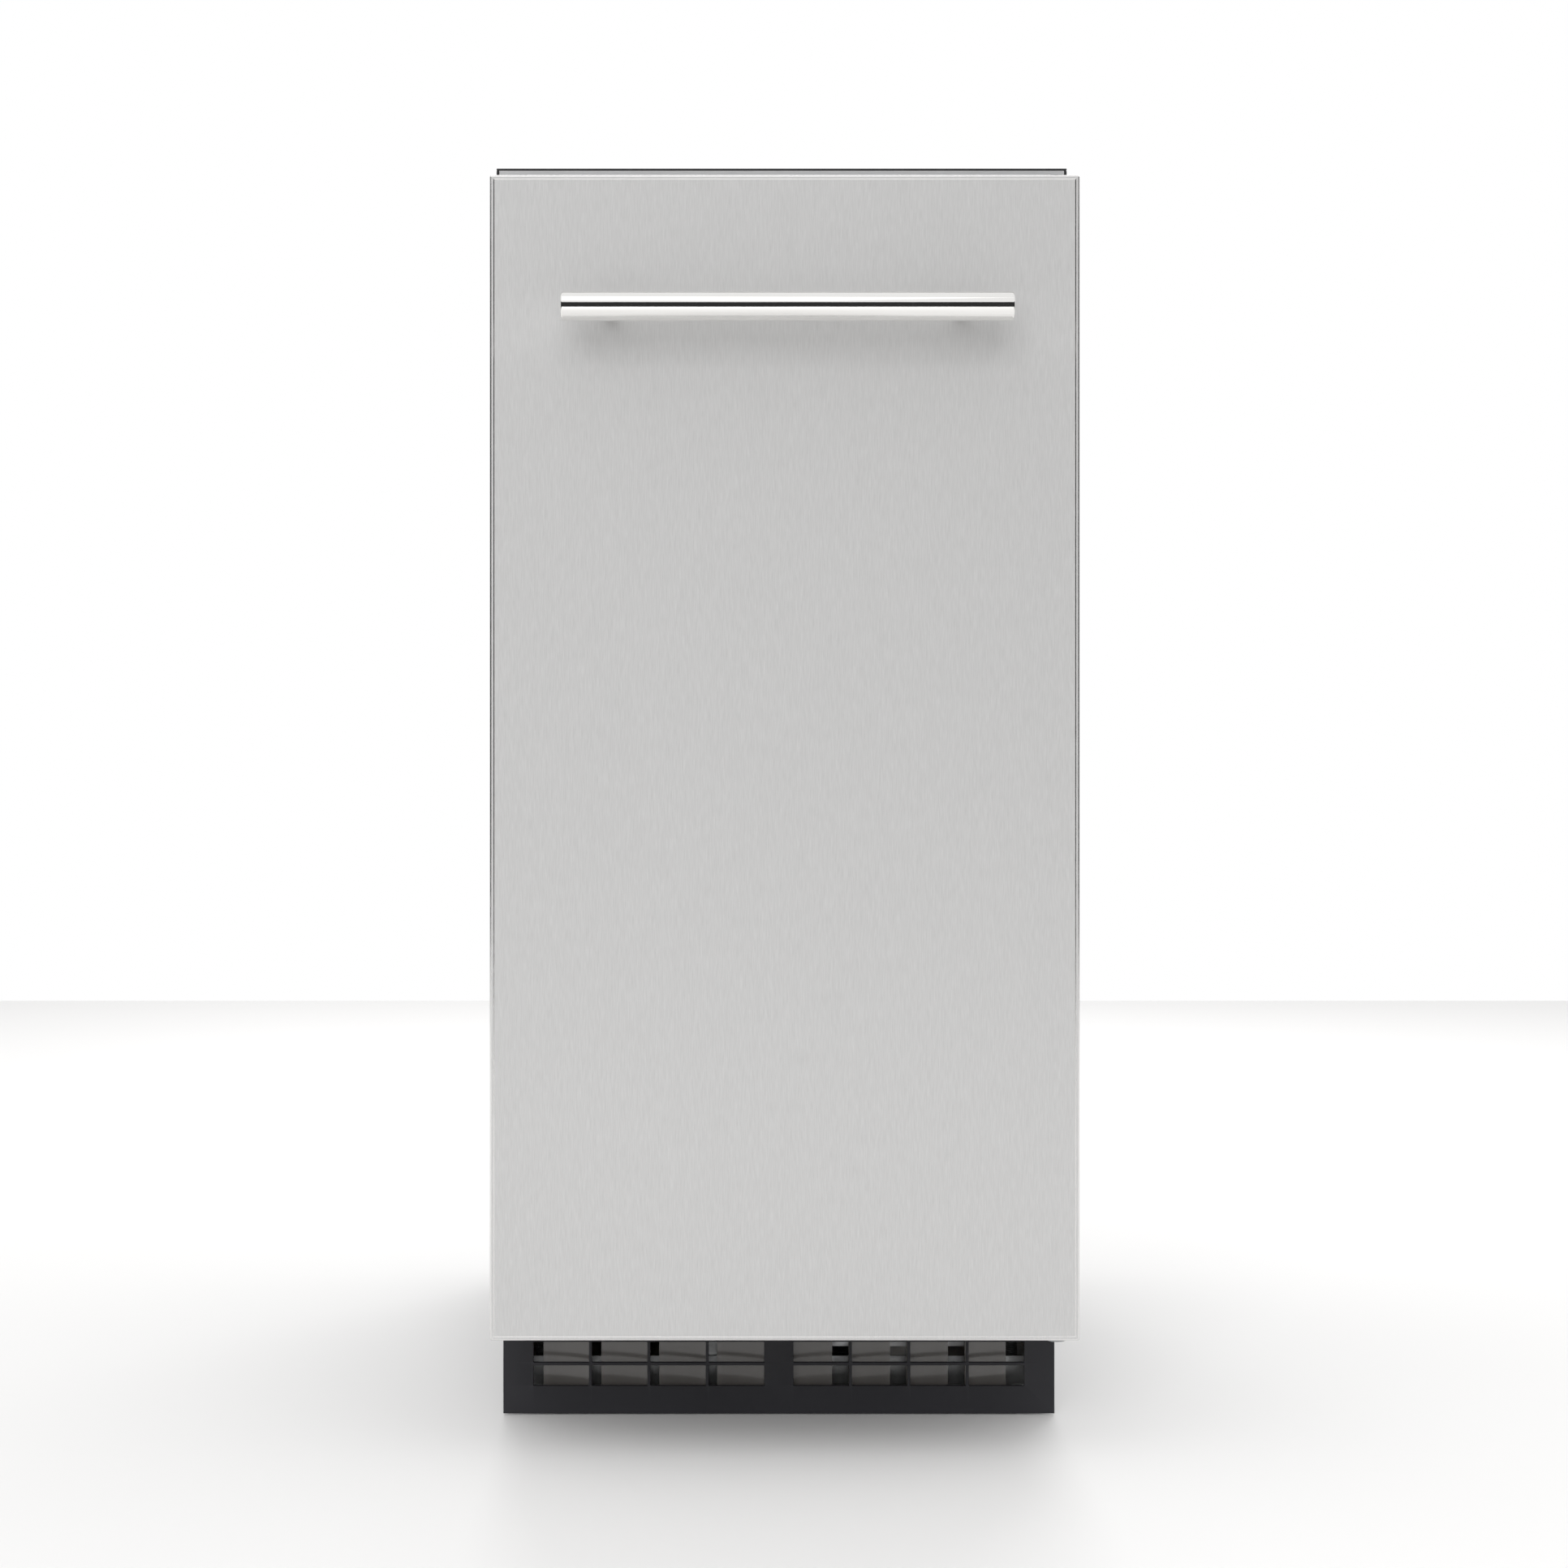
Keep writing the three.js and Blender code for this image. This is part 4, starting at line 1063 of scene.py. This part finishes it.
def makeScoop():
    # rounded bowl hanging mouth down, open towards the bin, with a turned grip above
    low, high = boxOf("scoop")
    bowlTop = scoopLook["bowlTop"]
    bm = bmesh.new()
    roundedBlock(bm, low, (high.x, high.y, bowlTop))
    opened = [face for face in bm.faces if face.normal.x > 0.9 or face.normal.z < -0.9]
    bmesh.ops.delete(bm, geom=opened, context="FACES")
    inner = [edge for edge in bm.edges if len(edge.link_faces) == 2]
    bevelEdges(bm, inner, scoopLook["corner"], scoopLook["steps"])
    bowl = makePiece("scoopBowl", bm, "liner_white", "scoop", ["scoop"], 60)
    thicken(bowl, scoopLook["wall"], -1)
    softenEdges(bowl, 0.5 * mm, 3)
    # the grip starts a little way down inside the bowl's top
    gripFoot = bowlTop - 1 * mm
    grip, length, crown = scoopLook["grip"], high.z - gripFoot, scoopLook["crownRound"]
    profile = [(0, 0), (grip * 0.75, 0), (grip * 0.72, length * 0.12)]
    profile += [(grip * scoopLook["slim"], length * 0.3), (grip, length * 0.7)]
    profile += arcPoints((grip - crown, length - crown), crown, 0, 90, 8) + [(0, length)]
    place = (*scoopLook["gripPlace"], gripFoot)
    turnedPiece("scoopGrip", profile, place, (0, 0, 1), "liner_white", "scoop", (), 40)


makeScoop()
refineNodes(("water_fill_tube", "drain_tube"), 0.2 * mm, 2, 50)
refineNodes(("insulation_foam", "door_foam"), 0.3 * mm, 1)
print("inside ready")


studioLook = {
    "floor": (0.83, 0.825, 0.82),
    "floorHalf": 3.0,
    "keyPower": 118.0,
    "topPower": 4.0,
    "backPower": 34.0,
    "worldLight": 1.0,
    "darkBelow": 22.0,
    "darkLevel": 0.03,
    "lens": 55.6,
    "shiftX": 0.0573,
    "cameraX": -0.058,
    "cameraHeight": 0.432,
    "cameraToDoor": 1.55,
}


def makeFloor():
    bm = bmesh.new()
    half = studioLook["floorHalf"]
    corners = [(-half, -half, 0), (half, -half, 0), (half, half, 0), (-half, half, 0)]
    bm.faces.new([bm.verts.new(corner) for corner in corners])
    mesh = bpy.data.meshes.new("floor")
    bm.to_mesh(mesh)
    bm.free()
    floor = bpy.data.objects.new("floor", mesh)
    scene.collection.objects.link(floor)
    pale = studioLook["floor"]
    shaded = tuple(channel * 0.99 for channel in pale)
    material, tree, shader = startMaterial("paleFloor", pale, 0.0, 0.6)
    mottle = noise(tree, (1.5, 1.5, 1.5), 2.0)
    tree.links.new(blendColor(tree, mottle, pale, shaded), shader.inputs["Base Color"])
    mesh.materials.append(material)


def makeLight(name, place, aim, size, power, mirrored=True):
    data = bpy.data.lights.new(name, "AREA")
    data.shape = "RECTANGLE"
    data.size, data.size_y = size
    data.energy = power
    light = bpy.data.objects.new(name, data)
    light.location = place
    direction = Vector(aim) - Vector(place)
    light.rotation_euler = direction.to_track_quat("-Z", "Y").to_euler()
    light.visible_glossy = mirrored
    scene.collection.objects.link(light)


def makeWorld():
    # even white for the background, softly banded for what the steel reflects
    world = bpy.data.worlds.new("studio")
    scene.world = world
    world.use_nodes = True
    tree = world.node_tree
    background = tree.nodes["Background"]
    coords = tree.nodes.new("ShaderNodeTexCoord")
    split = tree.nodes.new("ShaderNodeSeparateXYZ")
    tree.links.new(coords.outputs["Generated"], split.inputs["Vector"])
    level = math.sin(math.radians(studioLook["darkBelow"]))
    raised = remap(tree, split.outputs["Z"], 0.0, 1.0, level - 0.015, level + 0.015)
    behind = remap(tree, split.outputs["Y"], 0.0, 1.0, -0.05, 0.15)
    dark = (studioLook["darkLevel"],) * 3
    lowBand = blendColor(tree, behind, dark, (0.8, 0.8, 0.8))
    around = blendColor(tree, raised, lowBand, (0.95, 0.95, 0.95))
    rays = tree.nodes.new("ShaderNodeLightPath")
    shown = blendColor(tree, rays.outputs["Is Camera Ray"], around, (1.0, 1.0, 1.0))
    tree.links.new(shown, background.inputs["Color"])
    background.inputs["Strength"].default_value = studioLook["worldLight"]


def makeCamera():
    # level, a little left of the door's middle
    lens = bpy.data.cameras.new("camera")
    lens.sensor_width = 36.0
    lens.lens = studioLook["lens"]
    lens.shift_x = studioLook["shiftX"]
    lens.clip_start = 0.05
    camera = bpy.data.objects.new("camera", lens)
    away = boxOf("door_skin")[0].y - studioLook["cameraToDoor"]
    camera.location = (studioLook["cameraX"], away, studioLook["cameraHeight"])
    camera.rotation_euler = (math.radians(90), 0, 0)
    scene.collection.objects.link(camera)
    scene.camera = camera


makeFloor()
makeLight("keyLight", (-0.5, -4.2, 1.4), (0, 0, 0.4), (2.6, 2.6), studioLook["keyPower"], False)
makeLight("topLight", (-0.6, -1.6, 2.6), (0, -0.2, 0.5), (2.4, 1.6), studioLook["topPower"])
makeLight("backLight", (0.3, 2.2, 2.2), (0, 0.2, 0.4), (2.4, 1.4), studioLook["backPower"])
makeWorld()
makeCamera()
print("studio ready")
